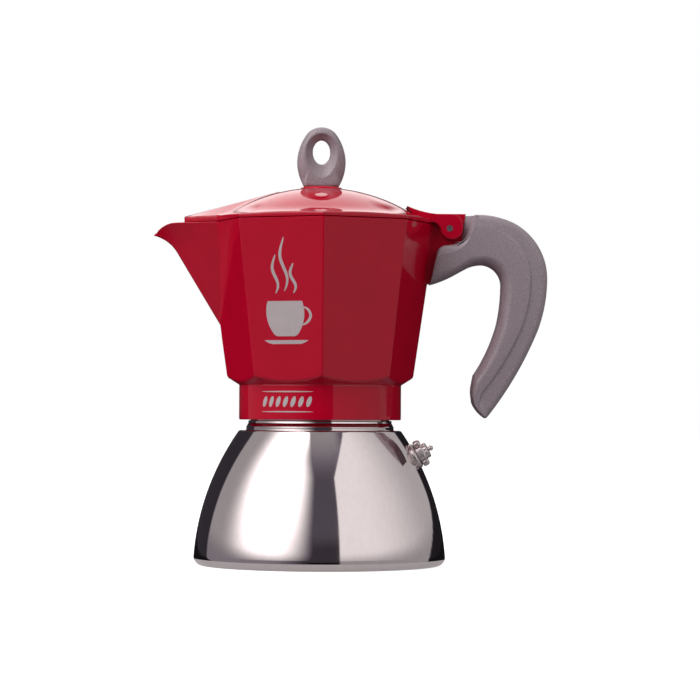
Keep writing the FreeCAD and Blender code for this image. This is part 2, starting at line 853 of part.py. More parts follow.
def collector():
    """Cast upper vessel with its collar, spout, coffee column and hinge rib."""
    body = new_body("collector")
    foot = new_sketch(body, "XY_Plane", "body_foot")
    octagon_in(foot, "body_foot_radius")
    rim = new_sketch(body, "XY_Plane", "rim_height")
    octagon_in(rim, "rim_radius")
    lofted(body, [foot, rim])
    turned(body, [
        ("collar_radius", "body_foot - 1"),
        ("under_cone_radius", "body_foot - 1"),
        ("under_cone_radius", "under_cone_height"),
        ("collar_radius", "body_foot"),
    ], "PartDesign::Groove")
    turned(body, [
        ("0", "collar_foot"),
        ("collar_radius - collar_edge", "collar_foot"),
        ("collar_radius", "collar_foot + collar_edge", "collar_edge", 1),
        ("collar_radius", "body_foot"),
        ("0", "body_foot"),
    ])
    stations = ("foot", "neck", "curl", "lip_under", "lip", "brow", "top")
    lofted(body, [
        spout_section(body, f"spout_{station}", "spout_root", f"spout_{station}_half",
                      f"spout_{station}_reach", "spout_edge_half")
        for station in stations
    ])
    padded(body, [
        ("rib_root", "rim_height"),
        ("rib_root", "rib_foot"),
        ("rib_reach", "rib_foot"),
        ("rib_reach", "rib_step"),
        ("tongue_foot_reach", "tongue_foot"),
        ("tongue_reach", "tongue_top"),
        ("barrel_top_left", "tongue_top"),
        ("barrel_left", "rim_height", "barrel_radius", 1),
    ], "rib_width")
    floor = new_sketch(body, "XY_Plane", "cavity_floor")
    octagon_in(floor, "cavity_floor_radius")
    mouth = new_sketch(body, "XY_Plane", "cavity_top")
    octagon_in(mouth, "cavity_top_radius")
    lofted(body, [floor, mouth], "PartDesign::SubtractiveLoft")
    channel = [("foot", "channel_foot_reach"), ("neck", "channel_neck_reach"),
               ("lip", "channel_lip_reach"), ("mouth", "channel_mouth_reach"),
               ("top", "channel_mouth_reach")]
    lofted(body, [
        spout_section(body, f"channel_{station}", "channel_root", f"channel_{station}_half",
                      reach, "channel_edge_half")
        for station, reach in channel
    ], "PartDesign::SubtractiveLoft")
    turned(body, [
        ("0", "cavity_floor - 1"),
        ("column_foot_radius", "cavity_floor - 1"),
        ("column_top_radius", "column_shoulder"),
        ("0", "column_top"),
    ])
    turned(body, [
        ("0", "collar_foot - 1"),
        ("bore_root", "collar_foot - 1"),
        ("bore_root", "gasket_seat"),
        ("plate_recess", "gasket_seat"),
        ("plate_recess", "plate_recess_top"),
        ("chamber_top_radius", "chamber_top"),
        ("column_bore_top", "column_bore_height"),
        ("0", "column_bore_height"),
    ], "PartDesign::Groove")
    padded(body, [
        ("column_slot_half", "column_slot_foot"),
        ("column_slot_half", "column_slot_top"),
        ("- column_slot_half", "column_slot_top"),
        ("- column_slot_half", "column_slot_foot"),
    ], "column_foot_radius + column_foot_radius", "PartDesign::Pocket")
    cross_bored(body, "pin_radius", "pin_length")
    drilled(body, "handle_screw_radius", "handle_screw_across", "rib_foot - 1", "handle_screw_top + 0.5")
    thread(body, "bore_root", "bore_thread_start", -1)
    return body


def cover_section(body, reach, half, eave, ridge, foot):
    """An upright section of the spout's cover: level eaves, a ridge in the middle."""
    sketch = new_sketch(body, "YZ_Plane", f"- {reach}")
    draw(sketch, [
        (half, foot),
        (half, eave),
        ("0", ridge),
        (f"- {half}", eave),
        (f"- {half}", foot),
    ])
    return sketch


def lid():
    """Domed lid cut to the octagon: a spout cover, two hinge ears and a pad for the knob."""
    body = new_body("lid")
    turned(body, [
        ("0", "lid_seam"),
        ("lid_blank_radius", "lid_seam"),
        ("lid_blank_radius", "lid_blank_top"),
        ("lid_flare_start_radius", "lid_flare_start", "lid_flare_radius", -1),
        ("0", "lid_apex", "lid_dome_radius", 1),
    ])
    trim = new_sketch(body, "XY_Plane", "lid_seam")
    circle_in(trim, "trim_radius")
    octagon_in(trim, "rim_radius")
    cut = body.newObject("PartDesign::Pocket", "lid_octagon")
    cut.Profile = trim
    cut.Reversed = True
    bind(cut, "Length", "lid_apex - lid_seam")
    lofted(body, [
        cover_section(body, "cover_reach", "cover_half", "cover_eave", "cover_tip_ridge", "lid_seam"),
        cover_section(body, "cover_root", "cover_root_half", "cover_eave", "cover_root_ridge", "lid_seam"),
    ])
    padded(body, [
        ("arm_inside", "lid_seam"),
        ("arm_start", "arm_start_top"),
        ("arm_level", "arm_top", "arm_sweep", 1),
        ("ear_top_right", "arm_top"),
        ("ear_right", "ear_right_top", "ear_corner", -1),
        ("ear_right", "ear_right_foot"),
        ("ear_foot_across", "ear_foot", "ear_foot_corner", -1),
        ("ear_left", "ear_right_foot", "ear_foot_corner", -1),
        ("ear_left", "arm_foot"),
        ("arm_outside_wall", "arm_foot"),
        ("arm_outside_wall", "lid_seam"),
    ], "arm_width")
    turned(body, [
        ("0", "lid_seam - 1"),
        ("lid_flare_start_radius", "lid_seam - 1"),
        ("lid_flare_start_radius", "lid_inside_edge"),
        ("0", "lid_inside_apex", "lid_inside_dome", 1),
    ], "PartDesign::Groove")
    lofted(body, [
        cover_section(body, "cover_hollow_reach", "cover_hollow_half", "cover_hollow_eave",
                      "cover_hollow_ridge", "lid_seam - 1"),
        cover_section(body, "cover_root", "cover_hollow_root_half", "cover_hollow_eave",
                      "cover_hollow_root_ridge", "lid_seam - 1"),
    ], "PartDesign::SubtractiveLoft")
    padded(body, [
        ("pin_across", "pin_height + slot_radius"),
        ("pin_across - slot_radius", "pin_height", "slot_radius", 1),
        ("pin_across - slot_radius", "slot_foot"),
        ("slot_right", "slot_foot"),
        ("slot_right", "pin_height + slot_radius"),
    ], "ear_slot", "PartDesign::Pocket")
    cross_bored(body, "ear_hole", "arm_width + 2")
    turned(body, [
        ("0", "lid_pad_foot"),
        ("lid_pad_foot_radius", "lid_pad_foot"),
        ("lid_pad_radius", "lid_pad_top"),
        ("0", "lid_pad_top"),
    ])
    drilled(body, "knob_screw_hole", "0", "lid_seam", "lid_pad_top")
    return body


def lid_knob():
    """Egg-shaped ring that lifts the lid."""
    body = new_body("lid_knob")
    ring_pad = padded(body, [
        ("- knob_foot_half", "knob_foot", "knob_foot_curve", 1),
        ("knob_foot_half", "knob_foot"),
        ("knob_half", "knob_waist", "knob_foot_curve", 1),
        ("knob_shoulder_half", "knob_shoulder", "knob_side_curve", 1),
        ("0", "knob_top", "knob_crown", 1),
        ("- knob_shoulder_half", "knob_shoulder", "knob_crown", 1),
        ("- knob_half", "knob_waist", "knob_side_curve", 1),
    ], "knob_thickness")
    rounded(body, ring_pad, "knob_rounding", amount("knob_thickness") / 2)
    padded(body, [
        ("knob_hole_half", "knob_hole_foot", "knob_hole_half", 1),
        ("knob_hole_half", "knob_hole_top"),
        ("0", "knob_hole_top + knob_hole_half", "knob_hole_half", 1),
        ("- knob_hole_half", "knob_hole_top", "knob_hole_half", 1),
        ("- knob_hole_half", "knob_hole_foot"),
        ("0", "knob_hole_foot - knob_hole_half", "knob_hole_half", 1),
    ], "knob_thickness + 1", "PartDesign::Pocket")
    drilled(body, "knob_screw_radius", "0", "knob_foot", "knob_screw_top")
    return body


def handle():
    """Hooked grip: a wide outer shape, scooped clear of the lid's ears, around the hinge rib."""
    body = new_body("handle")
    padded(body, [
        ("handle_root", "handle_root_foot", "underside_radius", -1),
        ("handle_root_side", "handle_root_side_top"),
        ("scoop_start", "scoop_start_height", "scoop_corner", -1),
        ("scoop_floor", "scoop_floor_height"),
        ("scoop_end", "scoop_end_height", "scoop_radius", 1),
        ("handle_top_left", "handle_top"),
        ("handle_brow", "handle_brow_height", "handle_brow_radius", -1),
        ("handle_back", "handle_back_height", "handle_back_radius", -1),
        ("handle_calf", "handle_calf_height", "handle_calf_radius", -1),
        ("handle_tail", "handle_tail_height", "handle_tail_radius", -1),
        ("handle_tip", "handle_tip_height"),
        ("tip_heel", "tip_heel_height", "tip_radius", -1),
        ("grip_start", "grip_start_height"),
        ("grip_top", "grip_top_height", "grip_radius", 1),
        ("grip_roof", "grip_roof_height", "grip_bend", 1),
        ("underside", "underside_height", "grip_roof_bend", 1),
    ], "handle_width")
    padded(body, [
        ("rib_reach", "web_foot - 2"),
        ("web_right", "web_foot"),
        ("web_right", "handle_top"),
        ("tongue_reach", "handle_top"),
    ], "web_width")
    padded(body, [
        ("rib_root", "rib_foot - rib_clearance"),
        ("rib_reach + rib_clearance", "rib_foot - rib_clearance"),
        ("rib_reach + rib_clearance", "rib_step - rib_clearance"),
        ("tongue_foot_reach + rib_clearance", "tongue_foot - rib_clearance"),
        ("tongue_reach + rib_clearance", "tongue_top + 1"),
        ("rib_root", "tongue_top + 1"),
    ], "rib_slot_width", "PartDesign::Pocket")
    drilled(body, "handle_screw_hole", "handle_screw_across", "handle_root_foot", "rib_foot")
    drilled(body, "handle_counterbore", "handle_screw_across", "handle_root_foot - 2", "handle_washer_top")
    return body


def hinge_pin():
    """Steel pin through the lid's ears and the collector's rib."""
    body = new_body("hinge_pin")
    sketch = new_sketch(body)
    circle_in(sketch, "pin_radius", "pin_across", "pin_height")
    pad = body.newObject("PartDesign::Pad", "hinge_pin_pad")
    pad.Profile = sketch
    pad.Midplane = True
    bind(pad, "Length", "pin_length")
    return body


PIECES = [
    boiler(),
    valve_body(),
    valve_washer(),
    valve_nut(),
    valve_cap(),
    valve_piston(),
    valve_seal(),
    valve_spring(),
    funnel(),
    funnel_sieve(),
    ring("gasket", "gasket_outside", "gasket_inside", "gasket_foot", "gasket_top"),
    filter_plate(),
    collector(),
    handle(),
    screw("handle_screw", "handle_screw_radius", "handle_screw_across", "handle_screw_top",
          "handle_screw_head", "handle_washer_foot", "handle_screw_foot"),
    moved(ring("handle_washer", "handle_washer_radius", "handle_screw_hole",
               "handle_washer_foot", "handle_washer_top"), "handle_screw_across"),
    hinge_pin(),
    lid(),
    lid_knob(),
    screw("knob_screw", "knob_screw_radius", "0", "knob_screw_top",
          "knob_screw_head", "knob_washer_foot", "knob_screw_foot"),
    ring("knob_washer", "knob_washer_radius", "knob_screw_hole", "knob_washer_foot", "knob_washer_top"),
]
doc.recompute()

failed = [thing.Name for thing in doc.Objects if "Invalid" in thing.State or "Error" in thing.State]
failed += [body.Label for body in PIECES if body.Shape.isNull() or not body.Shape.isValid()]
failed += [body.Label for body in PIECES if len(body.Shape.Solids) != 1]
if failed:
    raise RuntimeError("not built: " + ", ".join(failed))
for body in PIECES:
    body.Shape.exportStep(f"parts/{body.Label}.step")
    print(f"{body.Label}: {body.Shape.Volume:.0f} mm3")
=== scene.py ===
import math

import bmesh
import bpy
from mathutils import Matrix, Vector


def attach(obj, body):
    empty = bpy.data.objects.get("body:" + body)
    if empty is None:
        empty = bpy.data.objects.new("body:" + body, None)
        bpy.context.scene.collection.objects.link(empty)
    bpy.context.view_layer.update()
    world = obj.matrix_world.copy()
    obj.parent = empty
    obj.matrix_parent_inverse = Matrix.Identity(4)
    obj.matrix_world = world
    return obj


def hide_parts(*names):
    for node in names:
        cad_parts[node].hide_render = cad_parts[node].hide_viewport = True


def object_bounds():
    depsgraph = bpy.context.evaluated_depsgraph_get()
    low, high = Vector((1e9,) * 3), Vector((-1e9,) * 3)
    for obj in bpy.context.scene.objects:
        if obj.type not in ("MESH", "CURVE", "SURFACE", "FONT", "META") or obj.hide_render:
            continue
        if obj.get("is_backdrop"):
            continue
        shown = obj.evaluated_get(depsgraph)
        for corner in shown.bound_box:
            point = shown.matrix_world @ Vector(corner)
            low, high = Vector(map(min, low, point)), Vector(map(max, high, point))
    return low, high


# A stove-top moka pot. Lengths in this file are millimetres in the frame's own axes:
# +Z up, the spout towards -X, the handle towards +X, the front towards -Y.

MM = 0.001
EIGHTH = math.radians(45.0)
HALF_EIGHTH = math.radians(22.5)

# Driving dimensions that several pieces share.
WALL_FOOT, WALL_FOOT_REACH = 86.0, 44.16  # the octagon's corners at the collar
WALL_TOP, WALL_TOP_REACH = 164.3, 55.5  # and where the wall's slope would end
WALL_ROUNDING, INSIDE_ROUNDING = 1.4, 3.0
COLLAR_RADIUS = 38.8
RIM = 163.0
SEAM = 163.55
SPOUT_HALF = 14.2  # half the spout's width where it leaves the wall at the rim
THREAD_PITCH, THREAD_RISE, THREAD_HALF = 3.0, 6.0, 0.8
KNOB_FOOT = 181.0
PRINT_BACK, PRINT_FRONT = -0.03, 0.05  # a print's back and face, out from its surface

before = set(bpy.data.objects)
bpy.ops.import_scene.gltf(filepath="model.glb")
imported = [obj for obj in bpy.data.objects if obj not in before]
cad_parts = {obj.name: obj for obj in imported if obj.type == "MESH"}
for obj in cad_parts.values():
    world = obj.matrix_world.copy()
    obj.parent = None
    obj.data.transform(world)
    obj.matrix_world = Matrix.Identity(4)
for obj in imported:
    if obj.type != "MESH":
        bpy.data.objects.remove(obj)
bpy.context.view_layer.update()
scene = bpy.context.scene


# ---------------------------------------------------------------- finishes


def finish(name, dark, light, rough, grain, bump, stretch=(1, 1, 1), clouds=60.0, **fixed):
    """A surface whose colour and roughness vary with fine grain and slow clouds."""
    material = bpy.data.materials.new(name)
    material.use_nodes = True
    nodes, links = material.node_tree.nodes, material.node_tree.links
    shader = nodes["Principled BSDF"]
    for socket, value in fixed.items():
        shader.inputs[socket.replace("_", " ")].default_value = value
    place = nodes.new("ShaderNodeTexCoord")
    scale = nodes.new("ShaderNodeMapping")
    scale.inputs["Scale"].default_value = stretch
    links.new(place.outputs["Object"], scale.inputs["Vector"])

    def noise(size, detail):
        texture = nodes.new("ShaderNodeTexNoise")
        texture.inputs["Scale"].default_value = size
        texture.inputs["Detail"].default_value = detail
        links.new(scale.outputs["Vector"], texture.inputs["Vector"])
        return texture.outputs["Fac"]

    fine, slow = noise(grain, 3.0), noise(clouds, 4.0)
    blend = nodes.new("ShaderNodeMath")
    blend.operation = "ADD"
    links.new(fine, blend.inputs[0])
    links.new(slow, blend.inputs[1])
    ramp = nodes.new("ShaderNodeValToRGB")
    ramp.color_ramp.elements[0].position = 0.36
    ramp.color_ramp.elements[1].position = 0.64
    ramp.color_ramp.elements[0].color = (*dark, 1.0)
    ramp.color_ramp.elements[1].color = (*light, 1.0)
    half = nodes.new("ShaderNodeMath")
    half.operation = "MULTIPLY"
    half.inputs[1].default_value = 0.5
    links.new(blend.outputs[0], half.inputs[0])
    links.new(half.outputs[0], ramp.inputs["Fac"])
    links.new(ramp.outputs["Color"], shader.inputs["Base Color"])
    spread = nodes.new("ShaderNodeMapRange")
    spread.inputs["From Min"].default_value = 0.3
    spread.inputs["From Max"].default_value = 0.7
    spread.inputs["To Min"].default_value = rough[0]
    spread.inputs["To Max"].default_value = rough[1]
    links.new(half.outputs[0], spread.inputs["Value"])
    links.new(spread.outputs["Result"], shader.inputs["Roughness"])
    relief = nodes.new("ShaderNodeBump")
    relief.inputs["Strength"].default_value = bump[0]
    relief.inputs["Distance"].default_value = bump[1] * MM
    links.new(fine, relief.inputs["Height"])
    links.new(relief.outputs["Normal"], shader.inputs["Normal"])
    return material


FINISHES = {
    "red": finish(
        "red_lacquer", (0.475, 0.0007, 0.0190), (0.530, 0.0009, 0.0225), (0.30, 0.40),
        1400.0, (0.05, 0.02), Coat_Weight=1.0, Coat_Roughness=0.045, Coat_IOR=1.5,
        Specular_IOR_Level=0.0,
    ),
    "steel": finish(
        "polished_steel", (0.725, 0.645, 0.652), (0.765, 0.682, 0.688), (0.035, 0.075),
        500.0, (0.02, 0.01), stretch=(1, 1, 0.5), Metallic=1.0,
    ),
    "plated": finish(
        "plated_metal", (0.56, 0.50, 0.50), (0.70, 0.63, 0.63), (0.36, 0.48),
        1500.0, (0.12, 0.03), Metallic=1.0,
    ),
    "aluminium": finish(
        "satin_aluminium", (0.62, 0.62, 0.63), (0.74, 0.74, 0.75), (0.24, 0.38),
        1200.0, (0.15, 0.03), Metallic=1.0,
    ),
    "fastener": finish(
        "fastener_steel", (0.42, 0.41, 0.41), (0.58, 0.57, 0.56), (0.20, 0.34),
        1100.0, (0.14, 0.03), Metallic=1.0,
    ),
    "rubber": finish(
        "silicone_rubber", (0.70, 0.68, 0.64), (0.80, 0.78, 0.74), (0.45, 0.60),
        900.0, (0.2, 0.03),
    ),
    "grey": finish(
        "grey_soft_touch", (0.200, 0.163, 0.182), (0.430, 0.358, 0.394), (0.38, 0.52),
        3200.0, (0.3, 0.04), clouds=2600.0, Specular_IOR_Level=0.55,
    ),
    "print": finish(
        "pale_print", (0.45, 0.39, 0.40), (0.55, 0.48, 0.49), (0.40, 0.55),
        1800.0, (0.2, 0.01),
    ),
}
LOOK_OF_NODE = {
    "boiler": "steel", "valve_body": "plated", "valve_washer": "rubber",
    "valve_nut": "plated", "valve_cap": "plated", "valve_spring": "fastener",
    "valve_piston": "plated", "valve_seal": "rubber", "funnel": "aluminium",
    "funnel_sieve": "aluminium", "gasket": "rubber", "filter_plate": "aluminium",
    "collector": "red", "handle": "grey", "handle_screw": "fastener",
    "handle_washer": "fastener", "hinge_pin": "fastener", "lid": "red",
    "lid_knob": "grey", "knob_screw": "fastener", "knob_washer": "fastener",
}
for node, look in LOOK_OF_NODE.items():
    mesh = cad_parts[node].data
    mesh.materials.clear()
    mesh.materials.append(FINISHES[look])
    for face in mesh.polygons:
        face.material_index = 0


# ---------------------------------------------------------------- mesh tools


class Shape:
    """A mesh being built from rows of points."""

    def __init__(self):
        self.mesh = bmesh.new()

    def row(self, points):
        return [self.mesh.verts.new(Vector(point) * MM) for point in points]

    def strip(self, first, second, closed=True, skip=()):
        for i in range(len(first) if closed else len(first) - 1):
            if i not in skip:
                j = (i + 1) % len(first)
                self.mesh.faces.new((first[i], first[j], second[j], second[i]))

    def grid(self, rows, closed=True):
        made = [self.row(points) for points in rows]
        for first, second in zip(made, made[1:]):
            self.strip(first, second, closed)
        return made

    def face(self, verts):
        self.mesh.faces.new(verts)


def piece(name, shape, look, body, stands_for=(), sharp=38.0, weld=0.004):
    """Turns a finished shape into a named piece that rides on a body."""
    mesh = shape.mesh
    bmesh.ops.remove_doubles(mesh, verts=mesh.verts, dist=weld * MM)
    bmesh.ops.dissolve_degenerate(mesh, edges=mesh.edges, dist=weld * MM)
    bmesh.ops.recalc_face_normals(mesh, faces=mesh.faces)
    for face in mesh.faces:
        face.smooth = True
    for edge in mesh.edges:
        edge.smooth = edge.calc_face_angle(0.0) < math.radians(sharp)
    data = bpy.data.meshes.new(name)
    mesh.to_mesh(data)
    mesh.free()
    data.materials.append(FINISHES[look])
    thing = bpy.data.objects.new(name, data)
    scene.collection.objects.link(thing)
    even = thing.modifiers.new("even_shading", "WEIGHTED_NORMAL")
    even.keep_sharp = True
    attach(thing, body)
    if stands_for:
        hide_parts(*stands_for)
    return thing


def between(first, last, share):
    return tuple(a + (b - a) * share for a, b in zip(first, last))


def arc(start, end, radius, turn, step=1.0):
    """Points after start up to end on the shorter arc; turn 1 is counter-clockwise."""
    start, end = Vector(start), Vector(end)
    half = (end - start) / 2
    rise = math.sqrt(max(radius * radius - half.length_squared, 0.0))
    centre = start + half + Vector((-half.y, half.x)).normalized() * rise * turn
    begin = math.atan2(*(start - centre).yx)
    sweep = 2 * math.asin(min(half.length / radius, 1.0)) * turn
    count = max(3, math.ceil(abs(sweep) * radius / step), math.ceil(abs(sweep) / 0.3))
    return [
        (centre.x + radius * math.cos(begin + sweep * i / count),
         centre.y + radius * math.sin(begin + sweep * i / count))
        for i in range(1, count + 1)
    ]


def path(corners, step=1.0):
    """A line through corners; a corner with a radius and a turn is reached by an arc."""
    points = [tuple(corners[0][:2])]
    for corner in corners[1:]:
        if len(corner) == 2:
            count = max(1, round(math.dist(points[-1], corner) / (4 * step)))
            start = points[-1]
            points += [between(start, corner, i / count) for i in range(1, count + 1)]
        else:
            points += arc(points[-1], corner[:2], corner[2], corner[3], step)
    return points


def spaced(points, count):
    """The same line as count + 1 points at even distances."""
    lengths = [0.0]
    for a, b in zip(points, points[1:]):
        lengths.append(lengths[-1] + math.dist(a, b))
    result, at = [], 0
    for i in range(count + 1):
        want = lengths[-1] * i / count
        while at < len(points) - 2 and lengths[at + 1] < want:
            at += 1
        size = max(lengths[at + 1] - lengths[at], 1e-9)
        result.append(between(points[at], points[at + 1], min((want - lengths[at]) / size, 1.0)))
    return result


def eased(table, at):
    """A smooth curve through the table's rows, read at one place."""
    if at <= table[0][0]:
        return table[0][1]
    for i in range(len(table) - 1):
        if at <= table[i + 1][0]:
            break
    else:
        return table[-1][1]

    def slope(j):
        low, high = table[max(j - 1, 0)], table[min(j + 1, len(table) - 1)]
        return (high[1] - low[1]) / (high[0] - low[0])

    (x0, y0), (x1, y1) = table[i], table[i + 1]
    t, width = (at - x0) / (x1 - x0), x1 - x0
    return (
        y0 * (2 * t**3 - 3 * t**2 + 1) + slope(i) * width * (t**3 - 2 * t**2 + t)
        + y1 * (3 * t**2 - 2 * t**3) + slope(i + 1) * width * (t**3 - t**2)
    )


def lathe(shape, profile, around=128, axis=Matrix.Identity(4), wave=None):
    """Turns a profile of (radius, height) points about an axis."""
    rows = []
    for radius, height in profile:
        ring = []
        for i in range(around):
            angle = 2 * math.pi * i / around
            reach = radius + (wave(angle, height) if wave else 0.0)
            ring.append(axis @ Vector((reach * math.cos(angle), reach * math.sin(angle), height)))
        rows.append(ring)
    return shape.grid(rows)


def inset(outline, distance):
    """The outline moved to its left by a distance, corners kept sharp."""
    moved, count = [], len(outline)
    for i in range(count):
        before, here, after = (Vector(outline[j % count]) for j in (i - 1, i, i + 1))
        a, b = (here - before).normalized(), (after - here).normalized()
        normal = Vector((-a.y, a.x)) + Vector((-b.y, b.x))
        normal.normalize()
        stretch = max(normal.dot(Vector((-a.y, a.x))), 0.45)
        moved.append(tuple(here + normal * distance / stretch))
    return moved


def clockwise(outline):
    return sum(
        (b[0] - a[0]) * (b[1] + a[1]) for a, b in zip(outline, outline[1:] + outline[:1])
    ) > 0


def slab(shape, outline, low, high, edge=0.5, place=None):
    """A flat piece from an outline across X and Z, with rounded edges along Y."""
    place = place or (lambda x, y, z: (x, y, z))
    outline = list(reversed(outline)) if clockwise(outline) else outline
    levels = []
    for i in range(5):
        turn = math.pi / 2 * i / 4
        levels.append((low + edge * (1 - math.sin(turn)), edge * (1 - math.cos(turn))))
    levels.reverse()
    levels += [(high - (y - low), inward) for y, inward in reversed(levels)]
    rows = []
    for y, inward in levels:
        rows.append([place(x, y, z) for x, z in (inset(outline, inward) if inward else outline)])
    made = shape.grid(rows)
    shape.face(made[0])
    shape.face(list(reversed(made[-1])))


def helix(shape, root, crest, start):
    """A screw thread's ridge, running out to nothing at both ends."""
    turns = THREAD_RISE / THREAD_PITCH
    steps = round(72 * turns)
    run_out = 9
    flat = THREAD_HALF * 0.35
    rows = []
    for i in range(steps + 1):
        share = i / steps
        angle = 2 * math.pi * turns * share
        level = start + THREAD_RISE * share
        fade = min(1.0, share * steps / run_out, (1 - share) * steps / run_out)
        top = root + (crest - root) * fade
        rows.append([
            (r * math.cos(angle), r * math.sin(angle), level + z)
            for r, z in ((root, -THREAD_HALF), (top, -flat), (top, flat), (root, THREAD_HALF))
        ])
    shape.grid(rows, closed=False)


# ---------------------------------------------------------------- boiler

# The side's arc in a half section: its radius, and its centre as (radius, height).
SIDE_RADIUS = 119.5
SIDE_CENTRE = (-59.03, -4.43)

shape = Shape()
outside = (
    [(0.0, 0.9), (18.0, 0.9), (18.6, 0.25), (19.4, 0.0), (24.0, 0.0)]
    + [(24.5, 0.2), (25.1, 0.5), (44.0, 0.5), (44.6, 0.2), (45.2, 0.0)]
    + path([
        (45.2, 0.0), (56.165, 0.0), (60.154, 4.292, 4.0, 1), (39.25, 63.55, SIDE_RADIUS, 1),
    ], 1.0)[1:]
    + arc((39.25, 63.55), (38.0, 64.3), 1.3, 1, 0.4)
    + [(35.6, 64.32), (35.4, 64.42), (35.3, 64.7), (35.3, 65.9), (35.25, 66.1), (35.1, 66.28)]
    + [(34.6, 67.35), (34.4, 67.65), (34.3, 67.9), (34.3, 68.9), (34.15, 69.05)]
    + [(33.3, 69.1), (33.3, 76.9), (33.1, 77.3), (32.7, 77.5), (31.5, 77.5), (31.1, 77.35)]
    + [(31.0, 77.0), (31.0, 64.6)]
)
inside = [(32.2, 63.6)] + path(
    [(37.6, 62.7), (57.7, 9.0, 117.9, -1), (52.0, 3.0, 6.6, -1), (0.0, 3.0)], 1.5
)
lathe(shape, outside + inside, 224)
helix(shape, 33.2, 34.2, 69.9)
piece("boiler_shell", shape, "steel", "boiler", ["boiler"], sharp=50)


# ---------------------------------------------------------------- collector

STEPS_ALONG_FACET, STEPS_ROUND_CORNER, STEPS_ALONG_SPOUT, STEPS_ROUND_NOSE = 6, 4, 14, 8
OUTER_SLOPE = (WALL_TOP_REACH - WALL_FOOT_REACH) / (WALL_TOP - WALL_FOOT)
INNER_FOOT, INNER_FOOT_REACH = 91.0, 42.0
INNER_SLOPE = (53.3 - INNER_FOOT_REACH) / (169.3 - INNER_FOOT)


def outer_reach(z):
    """How far the octagon's outer corners lie from the axis at a height."""
    return WALL_FOOT_REACH + OUTER_SLOPE * (z - WALL_FOOT)


def inner_reach(z):
    return INNER_FOOT_REACH + INNER_SLOPE * (z - INNER_FOOT)


def corner_points(reach, turn, rounding):
    """The octagon's rounded corner in one direction."""
    middle = reach - rounding / math.cos(HALF_EIGHTH)
    points = []
    for i in range(STEPS_ROUND_CORNER + 1):
        angle = turn + EIGHTH * (i / STEPS_ROUND_CORNER - 0.5)
        points.append((
            middle * math.cos(turn) + rounding * math.cos(angle),
            middle * math.sin(turn) + rounding * math.sin(angle),
        ))
    return points


def octagon_row(reach, rounding, join):
    """Points round the octagon from the spout's far joint to its near one."""
    points = [(join[0], -join[1])]
    for k in range(-3, 4):
        corner = corner_points(reach, k * EIGHTH, rounding)
        start = points[-1]
        for i in range(1, STEPS_ALONG_FACET + 1):
            points.append(between(start, corner[0], i / STEPS_ALONG_FACET))
        points += corner[1:]
    start, end = points[-1], join
    for i in range(1, STEPS_ALONG_FACET + 1):
        points.append(between(start, end, i / STEPS_ALONG_FACET))
    return points


def plain_join(reach, rounding):
    """Where a facet ends at the rounded corner that points to the spout."""
    middle = reach - rounding / math.cos(HALF_EIGHTH)
    angle = math.pi - HALF_EIGHTH
    return (-middle + rounding * math.cos(angle), rounding * math.sin(angle))


def facet_join(reach, across):
    """The point of the two facets by the spout at a distance across from the middle."""
    return (-(reach - across * math.tan(HALF_EIGHTH)), across)


def nose_points(tip, half, z, spread=math.radians(66)):
    """A rounded front edge, from +Y to -Y."""
    radius = half / math.sin(spread)
    points = []
    for i in range(STEPS_ROUND_NOSE + 1):
        angle = spread * (1 - 2 * i / STEPS_ROUND_NOSE)
        points.append((-tip + radius - radius * math.cos(angle), radius * math.sin(angle), z))
    return points


def ring_row(octagon, level, side, nose):
    """One closed row: the octagon, one spout side, the front edge, the other side."""
    row = [(x, y, level) for x, y in octagon]
    row += side[1:]
    row += nose[1:]
    row += [(x, -y, z) for x, y, z in reversed(side[:-1])][:-1]
    return row


def plain_row(reach, rounding, z):
    """A row of the octagon without a spout, with the same points as a row that has one."""
    join = plain_join(reach, rounding)
    octagon = octagon_row(reach, rounding, join)
    side = [(join[0], join[1], z)] * (STEPS_ALONG_SPOUT + 1)
    nose = []
    middle = reach - rounding / math.cos(HALF_EIGHTH)
    for i in range(STEPS_ROUND_NOSE + 1):
        angle = math.pi + HALF_EIGHTH * (2 * i / STEPS_ROUND_NOSE - 1)
        nose.append((-middle + rounding * math.cos(angle), rounding * math.sin(angle), z))
    return ring_row(octagon, z, side, nose)


# The directions of a row's points, so that round rows meet the octagon's point by point,
# and how much of the corners' reach the octagon has in each of them.
SAMPLE_REACH = 50.0
SAMPLE_ROW = plain_row(SAMPLE_REACH, 1.6, 0.0)
TURNS = [math.atan2(y, x) for x, y, z in SAMPLE_ROW]
SHARES = [math.hypot(x, y) / SAMPLE_REACH for x, y, z in SAMPLE_ROW]


def circle_row(radius, z):
    return [(radius * math.cos(turn), radius * math.sin(turn), z) for turn in TURNS]


# The spout from outside and from inside: its front edge from the wall to the tip, half its
# width at the wall by height, and the line of its lip.
OUTER_FOOT, INNER_SPOUT_FOOT = 114.0, 117.5
OUTER_NOSE = path([(-47.75, OUTER_FOOT), (-68.4, 148.2), (-80.1, 157.2, 17.8, 1)], 0.8)
OUTER_HALF = [(OUTER_FOOT, 0.6), (122.0, 3.2), (148.8, 11.6), (RIM, SPOUT_HALF)]
OUTER_LIP = [
    (-49.4, SPOUT_HALF, RIM), (-63.0, 8.3, RIM), (-69.6, 5.2, RIM), (-72.6, 3.8, 162.75),
    (-75.0, 2.8, 161.9), (-77.2, 2.0, 160.5), (-79.0, 1.35, 158.7), (-79.8, 1.0, 157.2),
]
INNER_NOSE = path([
    (-45.9, INNER_SPOUT_FOOT), (-47.0, 122.0), (-63.6, 149.6), (-72.0, 156.5, 16.0, 1),
    (-79.2, 158.0, 40.0, 1),
], 0.8)
INNER_HALF = [(INNER_SPOUT_FOOT, 0.8), (124.0, 2.6), (148.0, 9.6), (RIM, 12.6)]
